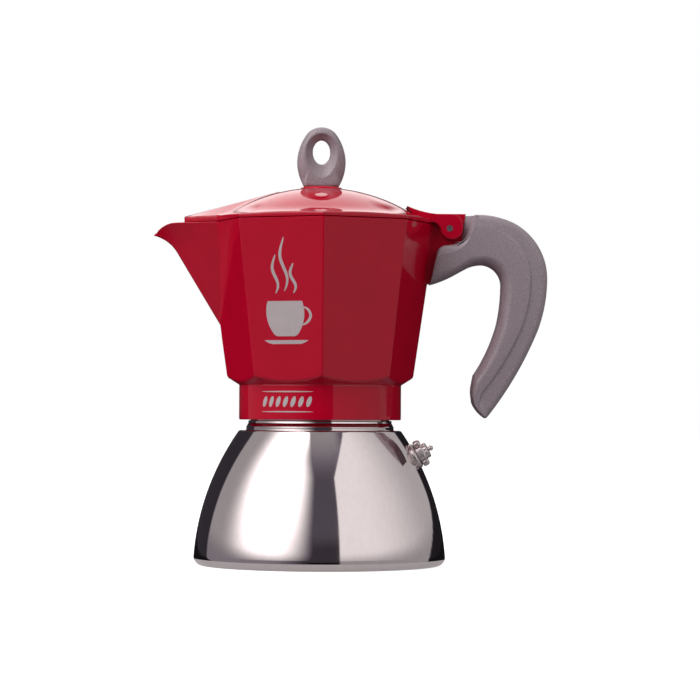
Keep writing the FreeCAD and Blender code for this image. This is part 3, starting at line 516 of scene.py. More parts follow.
INNER_LIP = [
    (-47.15, 12.6, RIM), (-61.5, 6.8, RIM), (-68.6, 3.8, 162.9), (-71.9, 2.5, 162.5),
    (-74.6, 1.7, 161.5), (-76.8, 1.1, 160.2), (-78.4, 0.75, 158.9), (-79.0, 0.6, 158.1),
]


def rows_with_spout(reach_at, rounding, nose_line, half_table, lip, bottom, count, half_nose):
    """Rows from where the spout leaves the wall up to the rim, its lip included."""
    top = lip[0][2]
    noses = spaced(nose_line, count)
    lips = spaced(lip, STEPS_ALONG_SPOUT)
    rows = []
    for k in range(count + 1):
        share = k / count
        z = bottom + (top - bottom) * share
        across = max(eased(half_table, z), plain_join(reach_at(z), rounding)[1])
        join = facet_join(reach_at(z), across)
        if k == 0:
            join = plain_join(reach_at(z), rounding)
        tip, level = noses[k]
        half = half_nose[0] + (half_nose[1] - half_nose[0]) * min(1, 4 * share)
        nose = nose_points(-tip, half, level)
        side = []
        first, last = (join[0], join[1], z), nose[0]
        for i in range(STEPS_ALONG_SPOUT + 1):
            u = i / STEPS_ALONG_SPOUT
            straight = between(first, last, u)
            chord = between(lips[0], lips[-1], u)
            side.append(tuple(
                s + share**1.5 * (edge - c) for s, edge, c in zip(straight, lips[i], chord)
            ))
        rows.append(ring_row(octagon_row(reach_at(z), rounding, join), z, side, nose))
    return rows


def mixed(first, second, share, lift):
    """The row part of the way from one row to another, lifted a little."""
    between_rows = (between(a, b, share) for a, b in zip(first, second))
    return [(x, y, z + lift) for x, y, z in between_rows]


outer_rows = [plain_row(outer_reach(z), WALL_ROUNDING, z) for z in (94.0, 98.0, 104.0, 109.0)]
outer_rows += rows_with_spout(
    outer_reach, WALL_ROUNDING, OUTER_NOSE, OUTER_HALF, OUTER_LIP, OUTER_FOOT, 30, (0.62, 1.15))
inner_rows = rows_with_spout(
    inner_reach, INSIDE_ROUNDING, INNER_NOSE, INNER_HALF, INNER_LIP, INNER_SPOUT_FOOT, 28,
    (1.2, 0.75))
crown = [
    mixed(outer_rows[-1], inner_rows[-1], share, lift)
    for share, lift in ((0.06, 0.22), (0.16, 0.34), (0.5, 0.38), (0.84, 0.34), (0.94, 0.22))
]

# The wall meets the cone below it in a line that dips in the middle of each facet.
CONE_SLOPE = 1.57746  # the cone's rise for each step outwards from the collar
edge_rows = {}
for lift, name in ((1.1, "wall"), (0.0, "edge")):
    row = []
    for turn, share in zip(TURNS, SHARES):
        rise = (WALL_FOOT_REACH * share - COLLAR_RADIUS) / (CONE_SLOPE - OUTER_SLOPE * share) + lift
        reach = share * (WALL_FOOT_REACH + OUTER_SLOPE * rise)
        row.append((reach * math.cos(turn), reach * math.sin(turn), WALL_FOOT + rise))
    edge_rows[name] = row
cone_row = []
for (x, y, z), turn in zip(edge_rows["edge"], TURNS):
    reach = math.hypot(x, y) - 1.0
    level = WALL_FOOT + (reach - COLLAR_RADIUS) / CONE_SLOPE
    cone_row.append((reach * math.cos(turn), reach * math.sin(turn), level))
edge = []
for i in range(1, 5):
    t = i / 5
    edge.append([
        tuple((1 - t) ** 2 * p + 2 * t * (1 - t) * q + t * t * r for p, q, r in zip(a, b, c))
        for a, b, c in zip(edge_rows["wall"], edge_rows["edge"], cone_row)
    ])

FLOOR_ROUNDING, ROUNDING_TOP = 5.5, 96.5
floor_rows = [
    plain_row(inner_reach(z), INSIDE_ROUNDING, z) for z in (112.0, 104.0, 99.0, ROUNDING_TOP)
]
for i in range(1, 7):
    turn = math.pi / 2 * i / 6
    z = ROUNDING_TOP - FLOOR_ROUNDING * math.sin(turn)
    reach = inner_reach(z) - FLOOR_ROUNDING * (1 - math.cos(turn))
    floor_rows.append(plain_row(reach, INSIDE_ROUNDING + 2 * i / 6, z))
floor_rows += [circle_row(26.0, 90.7), circle_row(14.0, 90.6)]

# The column's tapered tube, with the slots' foot and top as rows of their own.
TAPER_FOOT, SLOT_FOOT, SLOT_TOP = 96.0, 136.5, 142.0
column_outside = [(11.3, 90.7), (10.1, 91.5), (9.45, 93.2), (9.2, TAPER_FOOT)]
for i in range(1, 7):
    column_outside.append((9.2 - 3.6 * i / 6, TAPER_FOOT + (SLOT_FOOT - TAPER_FOOT) * i / 6))
column_outside += [(5.6, SLOT_TOP), (5.6, 144.6), (5.35, 145.7), (4.6, 146.3)]
column_outside += [(3.4, 146.5), (0.0, 146.5)]
column_inside = [(0.0, 143.5), (2.9, 143.4), (3.5, 142.9), (3.6, SLOT_TOP), (3.6, SLOT_FOOT)]
column_inside += [(3.6 + 2.7 * i / 5, SLOT_FOOT - 46.0 * i / 5) for i in range(1, 6)]
below = [
    (6.5, 88.6), (29.1, 83.3), (29.1, 81.5), (35.4, 81.5), (35.4, 70.9), (36.2, 69.9),
    (36.6, 69.4), (38.2, 69.4), (38.55, 69.5), (38.72, 69.72), (COLLAR_RADIUS, 70.0),
    (COLLAR_RADIUS, 78.0), (COLLAR_RADIUS, 85.3), (38.75, 85.75), (38.95, 86.12),
]

shape = Shape()
loops = []
for radius, z in reversed(column_outside):
    loops.append(("tube_outside", z, shape.row(circle_row(radius, z))))
for row in reversed(floor_rows):
    loops.append(("", 0, shape.row(row)))
for row in inner_rows + list(reversed(crown)) + list(reversed(outer_rows)):
    loops.append(("", 0, shape.row(row)))
for row in [edge_rows["wall"]] + edge + [cone_row]:
    loops.append(("", 0, shape.row(row)))
for radius, z in reversed(below):
    loops.append(("", 0, shape.row(circle_row(radius, z))))
for radius, z in reversed(column_inside):
    loops.append(("tube_inside", z, shape.row(circle_row(radius, z))))

# Two slots near the column's top let the coffee out, towards the front and the back.
SLOT_HALF_TURN = 0.27
slots = {}
for side in (-1, 1):
    slots[side] = [
        i for i in range(len(TURNS))
        if abs((TURNS[i] + TURNS[(i + 1) % len(TURNS)]) / 2 - side * math.pi / 2) < SLOT_HALF_TURN
        and abs(TURNS[i] - TURNS[(i + 1) % len(TURNS)]) < 1.0
    ]
openings = {}
for (kind, z, first), (_, next_z, second) in zip(loops, loops[1:]):
    cut = kind and {z, next_z} == {SLOT_FOOT, SLOT_TOP}
    shape.strip(first, second, skip=slots[-1] + slots[1] if cut else ())
    if cut:
        openings[kind] = {z: first, next_z: second}
for columns in slots.values():
    out, back = openings["tube_outside"], openings["tube_inside"]
    for z in (SLOT_FOOT, SLOT_TOP):
        for i in columns:
            j = (i + 1) % len(TURNS)
            shape.face((out[z][i], out[z][j], back[z][j], back[z][i]))
    for i in (columns[0], (columns[-1] + 1) % len(TURNS)):
        shape.face((out[SLOT_FOOT][i], out[SLOT_TOP][i], back[SLOT_TOP][i], back[SLOT_FOOT][i]))
helix(shape, 35.5, 34.5, 71.2)

# The hinge block: a tongue between the lid's two arms and a rib down the wall.
tongue = path([
    (49.0, 163.2), (49.0, 134.9), (52.6, 134.9), (54.2, 141.0), (61.6, 141.0), (62.0, 141.4),
    (62.0, 152.5), (67.4, 155.0), (69.3, 168.5), (54.3, 168.5), (53.61, 168.3),
    (51.16, 163.9, 10.6, 1), (51.0, 163.2),
], 1.2)
slab(shape, tongue, -4.2, 4.2, 0.45)
piece("collector_body", shape, "red", "collector", ["collector"], sharp=34)


# ---------------------------------------------------------------- lid

DOME_RADIUS, DOME_CENTRE = 84.0, 96.65
INSIDE_RADIUS, INSIDE_CENTRE = 82.7, 96.7
FLARE_START, FLARE_START_HEIGHT = 42.0, 169.4
FLARE_END = 60.0
LID_WALL = 46.0  # the inner radius of the lid's rim
ARMS_FROM, ARMS_TO, ARM_EDGE = 4.5, 8.6, 0.45


def dome_height(r):
    """A ball's cap that flares out to the rim."""
    if r <= FLARE_START:
        return DOME_CENTRE + math.sqrt(DOME_RADIUS**2 - r * r)
    return FLARE_START_HEIGHT - 0.577 * (r - FLARE_START) + 0.020 * (r - FLARE_START) ** 2


def cover_height(x, y):
    """The ridged cover over the spout."""
    along = (-40.0 - x) / 25.5
    half = 19.0 - 13.1 * along
    ridge = 173.55 - 7.0 * along
    off = (math.sqrt(y * y + 0.5) - 0.3) / max(half, 1.0)
    return ridge - (ridge - 165.9) * off


def lid_height(x, y):
    """The dome and the spout's cover, whichever is higher, with a soft corner between them."""
    dome = dome_height(min(math.hypot(x, y), FLARE_END))
    if x > -20.0:
        return dome
    cover = cover_height(x, y)
    if math.hypot(x, y) > FLARE_END:
        return cover
    gap = cover - dome
    return dome + (gap + math.sqrt(gap * gap + 0.6)) / 2


def lid_outline():
    """The lid from above: the octagon and the tapering cover with its blunt front."""
    join = facet_join(WALL_TOP_REACH, SPOUT_HALF)
    octagon = octagon_row(WALL_TOP_REACH, WALL_ROUNDING, join)
    front_half = 6.1
    front = (-64.6, front_half)
    steps = range(STEPS_ALONG_SPOUT + 1)
    side = [(*between(join, front, i / STEPS_ALONG_SPOUT), 0.0) for i in steps]
    nose = []
    for i in range(STEPS_ROUND_NOSE + 1):
        share = 1 - 2 * i / STEPS_ROUND_NOSE
        nose.append((-65.5 + 0.9 * abs(share) ** 5, front_half * share, 0.0))
    return [(x, y) for x, y, z in ring_row(octagon, 0.0, side, nose)]


outline = lid_outline()
shares = [i / 56 for i in range(56)] + [0.985, 0.993]
rows = []
for share in shares:
    rows.append([(x * share, y * share, lid_height(x * share, y * share)) for x, y in outline])
for share, drop in ((0.9975, 0.08), (0.9995, 0.25), (1.0, 0.5)):
    rows.append([(x * share, y * share, lid_height(x, y) - drop) for x, y in outline])
rows.append([(x, y, SEAM + 0.3) for x, y in outline])
rows.append([(x * 0.9985, y * 0.9985, SEAM + 0.08) for x, y in outline])
rows.append([(x * 0.995, y * 0.995, SEAM) for x, y in outline])


def lid_circle(radius, z):
    return [
        (radius * x / math.hypot(x, y), radius * y / math.hypot(x, y), z) for x, y in outline
    ]


rows += [lid_circle(46.3, SEAM), lid_circle(LID_WALL, SEAM + 0.3), lid_circle(LID_WALL, 165.0)]
rows.append(lid_circle(45.3, 165.9))
for i in range(1, 25):
    radius = 45.3 * (1 - i / 24)
    rows.append(lid_circle(radius, INSIDE_CENTRE + math.sqrt(INSIDE_RADIUS**2 - radius**2)))
shape = Shape()
shape.grid(rows)

# A low round pad carries the knob.
pad = [
    (0.0, KNOB_FOOT), (8.8, KNOB_FOOT), (9.4, 180.85), (9.9, 180.55), (10.3, 180.15), (10.5, 179.8),
]
lathe(shape, pad, 96)

# Two arms reach back from the dome to the hinge pin, joined by a bridge at their root.
arm = path([
    (46.5, 164.2), (41.0, 171.85), (55.9, 168.1, 44.0, 1), (62.5, 168.1),
    (67.7, 162.8, 5.3, -1), (67.7, 161.4), (62.3, 156.0, 5.42, -1), (56.9, 161.4, 5.42, -1),
    (55.4, 163.2), (53.9, 164.2),
], 0.8)
for low, high in ((-ARMS_TO, -ARMS_FROM), (ARMS_FROM, ARMS_TO)):
    slab(shape, arm, low, high, ARM_EDGE)
bridge = path([(46.5, 164.2), (41.0, 171.75), (50.6, 168.9, 44.0, 1), (50.6, 164.2)], 0.8)
slab(shape, bridge, -4.6, 4.6, 0.2)
piece("lid_shell", shape, "red", "lid", ["lid"], sharp=34)


# ---------------------------------------------------------------- knob

KNOB_MIDDLE = 197.8
HOLE_HALF_WIDTH, HOLE_HALF_HEIGHT = 4.2, 5.9
DISH_HALF_WIDTH, DISH_UP, DISH_DOWN = 7.5, 8.7, 12.6
KNOB_HALF, HOLE_HALF = 5.25, 2.75  # half the knob's thickness at its ridge and by the hole
KNOB_SECTIONS = 144
knob_side = path([
    (0.0, KNOB_FOOT), (7.9, KNOB_FOOT), (8.3, 181.25), (11.65, 193.6, 23.0, 1),
    (6.85, 206.84, 24.0, 1), (0.0, 210.0, 9.0, 1),
], 0.5)
knob_outline = knob_side + [(-x, z) for x, z in reversed(knob_side[:-1])][:-1]


def reach_of(outline, middle, angle):
    """How far the outline lies from the middle in one direction."""
    ray = Vector((math.cos(angle), math.sin(angle)))
    best = 0.0
    for a, b in zip(outline, outline[1:] + outline[:1]):
        first, along = Vector(a) - middle, Vector(b) - Vector(a)
        cross = ray.x * along.y - ray.y * along.x
        if abs(cross) > 1e-12:
            t = (first.x * along.y - first.y * along.x) / cross
            s = (first.x * ray.y - first.y * ray.x) / cross
            if t > 0 and -1e-6 <= s <= 1 + 1e-6:
                best = max(best, t)
    return best


def knob_ring(angle):
    """The section through one side of the knob, round from the hole and back."""
    cos, sin = math.cos(angle), math.sin(angle)
    hole = 1 / math.hypot(cos / HOLE_HALF_WIDTH, sin / HOLE_HALF_HEIGHT)
    dish = 1 / math.hypot(cos / DISH_HALF_WIDTH, sin / (DISH_UP if sin > 0 else DISH_DOWN))
    rim = reach_of(knob_outline, Vector((0.0, KNOB_MIDDLE)), angle)
    dish = min(dish, rim - 1.6)
    # Round at the sides and the top, and squarer towards the foot.
    foot = max(0.0, -sin - 0.84) / 0.16
    power = 2.0 + 7.0 * min(1.0, foot * 1.3)
    section = [(hole, 0.0), (hole, 1.5), (hole + 0.12, 2.3), (hole + 0.45, HOLE_HALF)]
    for i in range(1, 5):
        share = i / 5
        section.append((
            hole + 0.45 + (dish - hole - 0.45) * share,
            HOLE_HALF + (KNOB_HALF - HOLE_HALF) * share**1.25,
        ))
    section += [(dish - 0.12, KNOB_HALF - 0.1), (dish + 0.15, KNOB_HALF)]
    for i in range(1, 13):
        turn = math.pi / 2 * i / 12
        across, out = math.cos(turn) ** (2 / power), math.sin(turn) ** (2 / power)
        section.append((dish + 0.15 + (rim - dish - 0.15) * out, KNOB_HALF * across))
    loop = section + [(r, -y) for r, y in reversed(section[1:-1])]
    return [(r * cos, y, KNOB_MIDDLE + r * sin) for r, y in loop]


shape = Shape()
rings = [
    shape.row(knob_ring(2 * math.pi * i / KNOB_SECTIONS)) for i in range(KNOB_SECTIONS)
]
for first, second in zip(rings, rings[1:] + rings[:1]):
    shape.strip(first, second)
piece("knob_body", shape, "grey", "lid", ["lid_knob"], sharp=60)


# ---------------------------------------------------------------- handle

# The outer and the inner edge in matching stretches, and how many sections each one gets.
STATIONS = (10, 8, 14, 4, 18, 26, 22, 36, 12)
handle_outer = [
    [(55.6, 150.6), (59.6, 153.2, 4.5, -1)],
    [(59.6, 153.2), (64.2, 153.8)],
    [(64.2, 153.8), (73.4, 165.5, 13.0, 1)],
    [(73.4, 165.5), (73.6, 168.0)],
    [(73.6, 168.0), (93.1, 163.8, 40.0, -1)],
    [(93.1, 163.8), (108.5, 137.4, 30.1, -1)],
    [(108.5, 137.4), (104.2, 113.1, 72.0, -1)],
    [(104.2, 113.1), (80.6, 72.0, 172.0, -1)],
    [(80.6, 72.0), (79.3, 70.6)],
]
handle_inner = [
    [(52.1, 134.3), (55.5, 135.3, 72.0, 1)],
    [(55.5, 135.3), (60.0, 137.1, 72.0, 1)],
    [(60.0, 137.1), (67.0, 140.8, 72.0, 1)],
    [(67.0, 140.8), (69.6, 142.2, 72.0, 1)],
    [(69.6, 142.2), (77.7, 144.1, 16.0, -1)],
    [(77.7, 144.1), (86.5, 133.0, 10.0, -1)],
    [(86.5, 133.0), (84.3, 115.0, 82.0, -1)],
    [(84.3, 115.0), (73.3, 91.1, 82.0, -1)],
    [(73.3, 91.1), (72.2, 85.2), (79.3, 70.6, 16.0, 1)],
]
# Where the crease runs: its share of the way along the handle, and across it from outside.
CREASE_SHARE = [
    (0.0, 0.26), (0.30, 0.24), (0.40, 0.30), (0.50, 0.355), (0.62, 0.38), (0.75, 0.43),
    (0.88, 0.50), (1.0, 0.55),
]
CREASE_DEPTH = 1.0
# Across the crease from its foot, in mm, and the share of its depth that is climbed there.
CREASE_RISE = (
    (-0.1, 0.0), (0.05, 0.1), (0.3, 0.5), (0.7, 0.74), (1.5, 0.9), (3.0, 0.97), (4.2, 1.0),
)
GRIP_HALF = 9.6  # half the grip's width from front to back
ROOT_SECTIONS = 8  # the first sections, which are a little narrower
TIP_NARROWING = 1.6


def chain(parts):
    """One edge of the handle as a point for each section."""
    points = []
    for part, count in zip(parts, STATIONS):
        points += spaced(path(part, 0.5), count)[1 if points else 0:]
    return points


def handle_section(outer, inner, share, width):
    """A closed loop across the handle: rounded back, crease, soft inner side."""
    span = math.dist(outer, inner)
    shown = max(0.0, min(1.0, (share - 0.30) / 0.12, (0.97 - share) / 0.04))
    depth = CREASE_DEPTH * shown
    back, fine = min(3.2, span * 0.22), min(1.0, span / 9.0)
    band, at = width - depth, eased(CREASE_SHARE, share) * span
    section = [(0.0, 0.0), (0.0, band - 3.6)]
    for i in range(1, 6):
        turn = math.pi / 2 * i / 5
        section.append((back * (1 - math.cos(turn)), band - 3.6 + 3.3 * math.sin(turn)))
    for t in (0.4, 0.8):
        section.append((back + (at - 0.3 * fine - back) * t, band - 0.3 + 0.3 * t))
    for along, up in CREASE_RISE:
        section.append((at + along * fine, band + up * depth))
    soft = min(5.0, span * 0.34)
    low = max(section[-1][0] + 0.4 * fine, span - soft)
    for i in range(10):
        turn = math.pi / 2 * i / 9
        section.append((low + (span - low) * math.sin(turn), width - 7.6 * (1 - math.cos(turn))))
    section.append((span, 0.0))
    loop = section + [(r, -y) for r, y in reversed(section[1:-1])]
    across = (Vector(inner) - Vector(outer)) / max(span, 1e-6)
    return [(outer[0] + across.x * r, y, outer[1] + across.y * r) for r, y in loop]


outers, inners = chain(handle_outer), chain(handle_inner)
shape = Shape()
rows = []
total = len(outers) - 1
for i, (outer, inner) in enumerate(zip(outers, inners)):
    width = GRIP_HALF
    if i <= ROOT_SECTIONS:
        width -= 0.5 * (1 - i / ROOT_SECTIONS) ** 2
    tip = max(0.0, (i - (total - STATIONS[-1])) / STATIONS[-1])
    rows.append(shape.row(handle_section(outer, inner, i / total, width - TIP_NARROWING * tip**2)))
for first, second in zip(rows, rows[1:]):
    shape.strip(first, second)
shape.face(rows[0])

# A scoop on each side of the web leaves room for the lid's arms to swing down.
# Its floor runs down and out from the web to the grip's side.
SCOOP_FROM, SCOOP_DEPTH, SCOOP_SIDE = 4.2, 5.0, 9.0
notch = spaced(path([(64.6, 153.0), (64.8, 154.2), (73.3, 165.5, 13.0, 1), (73.5, 167.5)], 0.4), 20)
for side in (-1, 1):
    rows = []
    for x, z in notch:
        near = 67.5 + (z - 155.0) * 0.14 if z > 155.0 else 64.0
        near = min(near, x - 0.2)
        row = [(near - 0.6, 0.0, z)]
        for i in range(11):
            share = i / 10
            out = SCOOP_FROM + SCOOP_DEPTH * (1 - math.cos(math.pi / 2 * share))
            row.append((near + (x + 0.5 - near) * share, side * out, z))
        row.append((x + 1.2, side * SCOOP_SIDE, z))
        row.append((x + 1.2, 0.0, z))
        rows.append(row)
    made = shape.grid(rows)
    shape.face(made[0])
    shape.face(list(reversed(made[-1])))
piece("handle_grip", shape, "grey", "collector", ["handle"], sharp=40)


# ---------------------------------------------------------------- safety valve

# The valve stands square on the boiler's side, whose section is an arc about SIDE_CENTRE.
valve_rise, valve_turn = math.radians(28.4), math.radians(-10.0)
ahead = Vector((
    math.cos(valve_rise) * math.cos(valve_turn), math.cos(valve_rise) * math.sin(valve_turn),
    math.sin(valve_rise),
))
up = (Vector((0, 0, 1)) - ahead * ahead.z).normalized()
across = ahead.cross(up)
reach = SIDE_CENTRE[0] + SIDE_RADIUS * math.cos(valve_rise)
seat = Vector((
    reach * math.cos(valve_turn), reach * math.sin(valve_turn),
    SIDE_CENTRE[1] + SIDE_RADIUS * math.sin(valve_rise),
))
VALVE = Matrix((
    (up.x, across.x, ahead.x, seat.x),
    (up.y, across.y, ahead.y, seat.y),
    (up.z, across.z, ahead.z, seat.z),
    (0, 0, 0, 1),
))

shape = Shape()
lathe(shape, [
    (0.0, 1.3), (3.6, 1.35), (4.9, 1.3), (5.7, 1.05), (6.1, 0.7), (6.2, 0.3), (6.1, -0.35),
    (5.2, -0.5), (4.05, -0.5), (4.0, -1.2), (4.0, -8.8), (3.8, -9.0), (2.1, -9.0), (1.9, -8.8),
    (1.9, -0.6), (0.0, -0.6),
], 64, VALVE)
piece("valve_flange", shape, "plated", "boiler", ["valve_body"], sharp=45)


SKIRT_TOP, NOTCHES_FOOT = 4.7, 5.3


def flats(angle, height):
    """Six gentle flats round the cap's skirt and nine shallow notches round its crown."""
    if height > SKIRT_TOP:
        return -0.28 if math.sin(9 * angle) > 0.35 and height > NOTCHES_FOOT else 0.0
    return -0.42 * abs(math.sin(3 * angle))


shape = Shape()
lathe(shape, [
    (3.9, 1.35), (4.45, 1.5), (4.6, 1.9), (4.6, 4.0), (4.4, 4.5), (4.0, 4.8), (3.75, 5.0),
    (3.7, 5.4), (3.75, 6.3), (3.6, 6.7), (3.35, 6.85), (2.9, 6.8), (2.6, 6.5), (2.55, 5.8),
    (2.3, 5.6), (1.3, 5.6), (1.15, 5.5), (1.15, 1.35), (3.9, 1.35),
], 72, VALVE, flats)
for side in (-1, 1):
    wing = VALVE @ Matrix.Translation((side * 4.7, 0, 1.5))
    lathe(shape, [
        (0.0, 0.0), (1.3, 0.05), (1.75, 0.4), (1.9, 1.0), (1.85, 2.2), (1.6, 2.9), (1.0, 3.3),
        (0.0, 3.4),
    ], 32, wing)
piece("valve_winged_cap", shape, "plated", "boiler", ["valve_cap"], sharp=45)


# ---------------------------------------------------------------- printed decoration

# A plain cup with steam over it on the facet left of the front corner.
facet_turn = -math.pi / 2 - HALF_EIGHTH


def on_facet(x, y, z):
    """Across the facet, out of it, and up it."""
    reach = outer_reach(z) * math.cos(HALF_EIGHTH) + y
    return (
        reach * math.cos(facet_turn) - x * math.sin(facet_turn),
        reach * math.sin(facet_turn) + x * math.cos(facet_turn), z,
    )


def stroke(shape, line, width, place):
    """A flat printed line of changing width."""
    left, right = [], []
    count = len(line)
    for i, here in enumerate(line):
        ahead = Vector(line[min(i + 1, count - 1)]) - Vector(line[max(i - 1, 0)])
        ahead.normalize()
        wide = width * math.sqrt(max(math.sin(math.pi * (i + 0.25) / (count - 0.5)), 0.0))
        side = Vector((-ahead.y, ahead.x)) * wide / 2
        left.append(tuple(Vector(here) + side))
        right.append(tuple(Vector(here) - side))
    rows = []
    for points in (left, right):
        rows.append([place(x, PRINT_FRONT, z) for x, z in points])
    low = [place(x, PRINT_BACK, z) for x, z in right]
    back = [place(x, PRINT_BACK, z) for x, z in left]
    shape.grid([back] + rows + [low], closed=False)


# Each wisp of steam: its place across, foot, top and swing.
WISPS = ((-4.4, 128.0, 146.0, 1.5), (0.0, 129.0, 154.0, 1.9), (4.4, 128.0, 142.0, 1.5))
shape = Shape()
for shift, low, high, swing in WISPS:
    line = []
    for i in range(33):
        share = i / 32
        sway = swing * math.sin(2.2 * math.pi * share) * (1 - 0.35 * share)
        line.append((shift + sway, low + (high - low) * share))
    stroke(shape, line, 1.5, on_facet)
cup = path([
    (-8.6, 124.5), (-6.9, 110.5, 16.0, 1), (-4.2, 108.2, 4.0, 1), (4.2, 108.2), (6.9, 110.5, 4.0, 1),
    (8.6, 124.5, 16.0, 1),
], 1.0)
slab(shape, cup, PRINT_BACK, PRINT_FRONT, 0.02, on_facet)
ear = path([(8.0, 121.6), (12.6, 117.6, 4.0, -1), (7.4, 113.4, 5.4, -1)], 0.6)
stroke(shape, ear, 1.3, on_facet)
saucer = path([(-11.0, 106.4), (-7.0, 104.6, 9.0, 1), (7.0, 104.6), (11.0, 106.4, 9.0, 1)], 1.0)
slab(shape, saucer, PRINT_BACK, PRINT_FRONT, 0.02, on_facet)
piece("facet_print", shape, "print", "collector", sharp=30, weld=0.001)


def on_collar(x, y, z):
    """Round the collar from the front corner, out of it, and up it."""
    turn = x / COLLAR_RADIUS - math.pi / 2
    reach = COLLAR_RADIUS + y
    return (reach * math.cos(turn), reach * math.sin(turn), z)


# Seven slanting beans in a row between two lines.
shape = Shape()
for z in (73.2, 82.6):
    line = [(-31.0 + 27.0 * i / 40, z) for i in range(41)]
    stroke(shape, line, 0.6, on_collar)
for k in range(7):
    middle = -29.0 + 23.0 * k / 6
    bean = []
    for i in range(24):
        turn = 2 * math.pi * i / 24
        x = middle + 1.15 * math.cos(turn) + 0.7 * math.sin(turn)
        bean.append((x, 77.9 + 2.5 * math.sin(turn)))
    slab(shape, bean, PRINT_BACK, PRINT_FRONT, 0.02, on_collar)
piece("collar_print", shape, "print", "collector", sharp=30, weld=0.001)


# ---------------------------------------------------------------- stage


def glowing(name, strength):
    """A light panel's surface; its brightness is painted on its corners."""
    material = bpy.data.materials.new(name)
    material.use_nodes = True
    nodes, links = material.node_tree.nodes, material.node_tree.links
    nodes.clear()
    glow = nodes.new("ShaderNodeEmission")
    glow.inputs["Strength"].default_value = strength
    paint = nodes.new("ShaderNodeVertexColor")
    paint.layer_name = "glow"
    out = nodes.new("ShaderNodeOutputMaterial")
    links.new(paint.outputs["Color"], glow.inputs["Color"])
    links.new(glow.outputs[0], out.inputs["Surface"])
    return material


def soft_step(low, high, value):
    t = max(0.0, min(1.0, (value - low) / (high - low)))
    return t * t * (3 - 2 * t)


def ceiling_edge(share, rise):
    """The turn of a straight edge overhead, share of its height to one side."""
    return math.degrees(math.asin(min(1.0, share * math.tan(math.radians(min(rise, 89.0))))))


def tent_glow(turn, rise):
    """Brightness of the light tent: turn in degrees from the front, positive to the right."""
    # The left panel fades out towards the middle and the right one starts sharply. Overhead
    # both edges run straight, so their turn grows with the height.
    steep = max(rise - 44.0, 0.0)
    left_end, right_start = -3.0, 16.5
    if steep:
        left_end = -ceiling_edge(0.054 + 0.0050 * steep, rise)
        right_start = ceiling_edge(0.295 + 0.0052 * steep, rise)
    left_start = -118.0 - 9.0 * soft_step(-10, 4, rise) - 22.0 * soft_step(30, 50, rise)
    right_end = 115.0 + 26.0 * soft_step(-1, 9, rise) + 14.0 * soft_step(30, 50, rise)
    fade = 46.0 - 35.0 * soft_step(52, 68, rise)
    left = soft_step(left_start - 1.5, left_start + 1.5, turn)
    left *= 1 - soft_step(left_end - fade, left_end, turn)
    core = soft_step(-114, -56, turn) ** 1.6 * soft_step(-14, 38, rise)
    low_light = 0.24 * left
    left *= 0.38 + 4.2 * core  # a lamp shines through the left panel's middle
    right = soft_step(right_start, right_start + 1.5, turn)
    right *= 1 - soft_step(right_end, right_end + 3.0, turn)
    low_light += 0.36 * right
    right *= 1.0 - 0.52 * soft_step(42, 130, turn)
    # A narrow panel behind the object, wider further up.
    back = 1.7 * soft_step(164, 170, abs(turn) + 10 * soft_step(30, 50, rise))
    back *= soft_step(13, 22, rise) * (1 - soft_step(52, 72, rise))
    if rise < 0:
        return max(low_light, 0.12 * soft_step(20, 36, -rise), 0.008)
    sides = (left + right) * (1 - soft_step(72, 84, rise))
    sides = low_light + (sides - low_light) * soft_step(2, 9, rise)
    gap = 0.045 + 0.05 * soft_step(10, 18, rise) + 0.24 * soft_step(42, 68, rise)
    gap *= 1 - soft_step(25, 60, abs(turn)) * (1 - soft_step(60, 80, rise))
    dark = 0.015 if turn > 0 else 0.035 + 0.03 * soft_step(20, 60, rise)
    return max(sides, back, gap, dark)


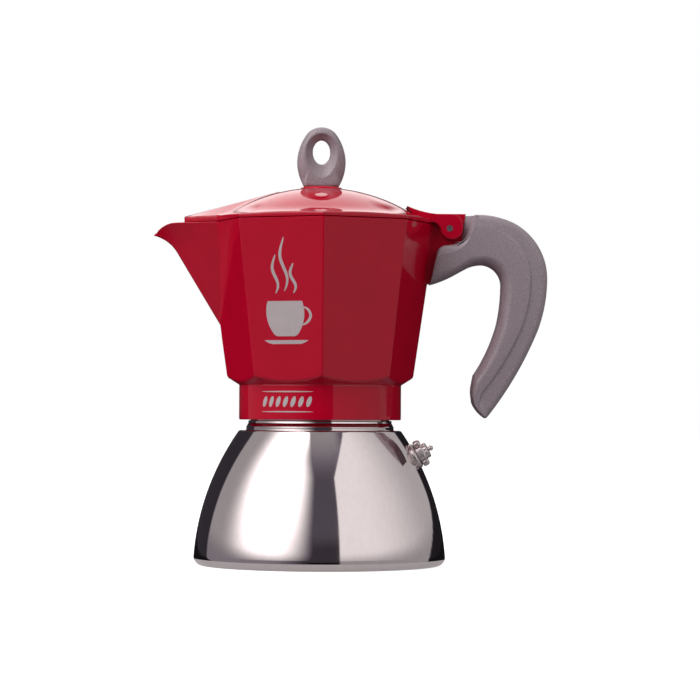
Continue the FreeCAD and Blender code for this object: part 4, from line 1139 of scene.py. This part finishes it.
def make_tent(radius):
    """A ball of light round the object, hidden from the camera itself."""
    mesh = bmesh.new()
    around, levels = 540, 180
    rows = []
    for k in range(levels + 1):
        rise = math.pi * (k / levels - 0.5)
        row = []
        for i in range(around):
            turn = 2 * math.pi * i / around
            row.append(mesh.verts.new((
                radius * math.cos(rise) * math.sin(turn),
                -radius * math.cos(rise) * math.cos(turn), radius * math.sin(rise),
            )))
        rows.append(row)
    for first, second in zip(rows, rows[1:]):
        for i in range(around):
            j = (i + 1) % around
            mesh.faces.new((first[i], second[i], second[j], first[j]))
    data = bpy.data.meshes.new("light_tent")
    mesh.to_mesh(data)
    mesh.free()
    glow = data.color_attributes.new("glow", "FLOAT_COLOR", "POINT")
    for vertex, cell in zip(data.vertices, glow.data):
        x, y, z = vertex.co
        turn = math.degrees(math.atan2(x, -y))
        rise = math.degrees(math.asin(max(-1.0, min(1.0, z / radius))))
        level = tent_glow(turn, rise)
        shade = 1.0 - soft_step(0.1, 0.4, level)
        cell.color = (level, level * (0.98 - 0.09 * shade), level * (0.98 + 0.12 * shade), 1.0)
    data.materials.append(glowing("tent_light", 1.0))
    tent = bpy.data.objects.new("light_tent", data)
    tent.location.z = 0.08
    tent.visible_camera = False
    scene.collection.objects.link(tent)
    tent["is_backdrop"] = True


def make_floor(name, radius, height, pale, glow):
    """A round floor that doesn't darken under the object."""
    mesh = bmesh.new()
    around, rings = 96, 24
    rows = []
    for k in range(rings + 1):
        reach = radius * k / rings
        row = []
        for i in range(around):
            turn = 2 * math.pi * i / around
            row.append(mesh.verts.new((reach * math.cos(turn), reach * math.sin(turn), height)))
        rows.append(row)
    for first, second in zip(rows, rows[1:]):
        for i in range(around):
            j = (i + 1) % around
            mesh.faces.new((first[i], first[j], second[j], second[i]))
    bmesh.ops.remove_doubles(mesh, verts=mesh.verts, dist=1e-6)
    data = bpy.data.meshes.new(name)
    mesh.to_mesh(data)
    mesh.free()
    material = bpy.data.materials.new(name + "_white")
    material.use_nodes = True
    shader = material.node_tree.nodes["Principled BSDF"]
    shader.inputs["Base Color"].default_value = (pale, pale, pale, 1.0)
    shader.inputs["Roughness"].default_value = 0.6
    shader.inputs["Specular IOR Level"].default_value = 0.0
    shader.inputs["Emission Color"].default_value = (1.0, 0.99, 0.99, 1.0)
    shader.inputs["Emission Strength"].default_value = glow
    data.materials.append(material)
    floor = bpy.data.objects.new(name, data)
    floor.visible_glossy = floor.visible_diffuse = floor.visible_shadow = False
    scene.collection.objects.link(floor)
    floor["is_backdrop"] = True
    return floor


make_tent(6.0)
make_floor("floor", 5.9, 0.0, 0.60, 0.80)
# Painted shade: this dim glowing darker disc stands in for the shaded floor under the object. Only
# the object's underside and foot reflect it.
near = make_floor("shaded_floor_disc", 0.072, -0.0002, 0.12, 0.36)
near.visible_camera, near.visible_glossy = False, True
world = bpy.data.worlds.new("pale_surround")
world.use_nodes = True
sky = world.node_tree.nodes["Background"].inputs
sky["Color"].default_value = (1.0, 1.0, 1.0, 1.0)
sky["Strength"].default_value = 1.0
scene.world = world
scene.view_settings.view_transform = "Standard"
scene.view_settings.exposure = 0.0

# ---------------------------------------------------------------- camera

lens = bpy.data.cameras.new("camera")
lens.sensor_width = 36.0
lens.lens = 134.0
camera = bpy.data.objects.new("camera", lens)
scene.collection.objects.link(camera)
target = Vector((14.2, 0.0, 103.0)) * MM
azimuth = math.radians(1.9)
distance, eye_height = 1.25, 0.072
roll = math.radians(0.3)
eye = Vector((
    target.x - distance * math.sin(azimuth), target.y - distance * math.cos(azimuth), eye_height,
))
aim = (target - eye).to_track_quat("-Z", "Y").to_matrix().to_4x4()
camera.matrix_world = Matrix.Translation(eye) @ aim @ Matrix.Rotation(roll, 4, "Z")
lens.clip_start = 0.01
lens.clip_end = 50.0
scene.camera = camera

low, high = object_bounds()
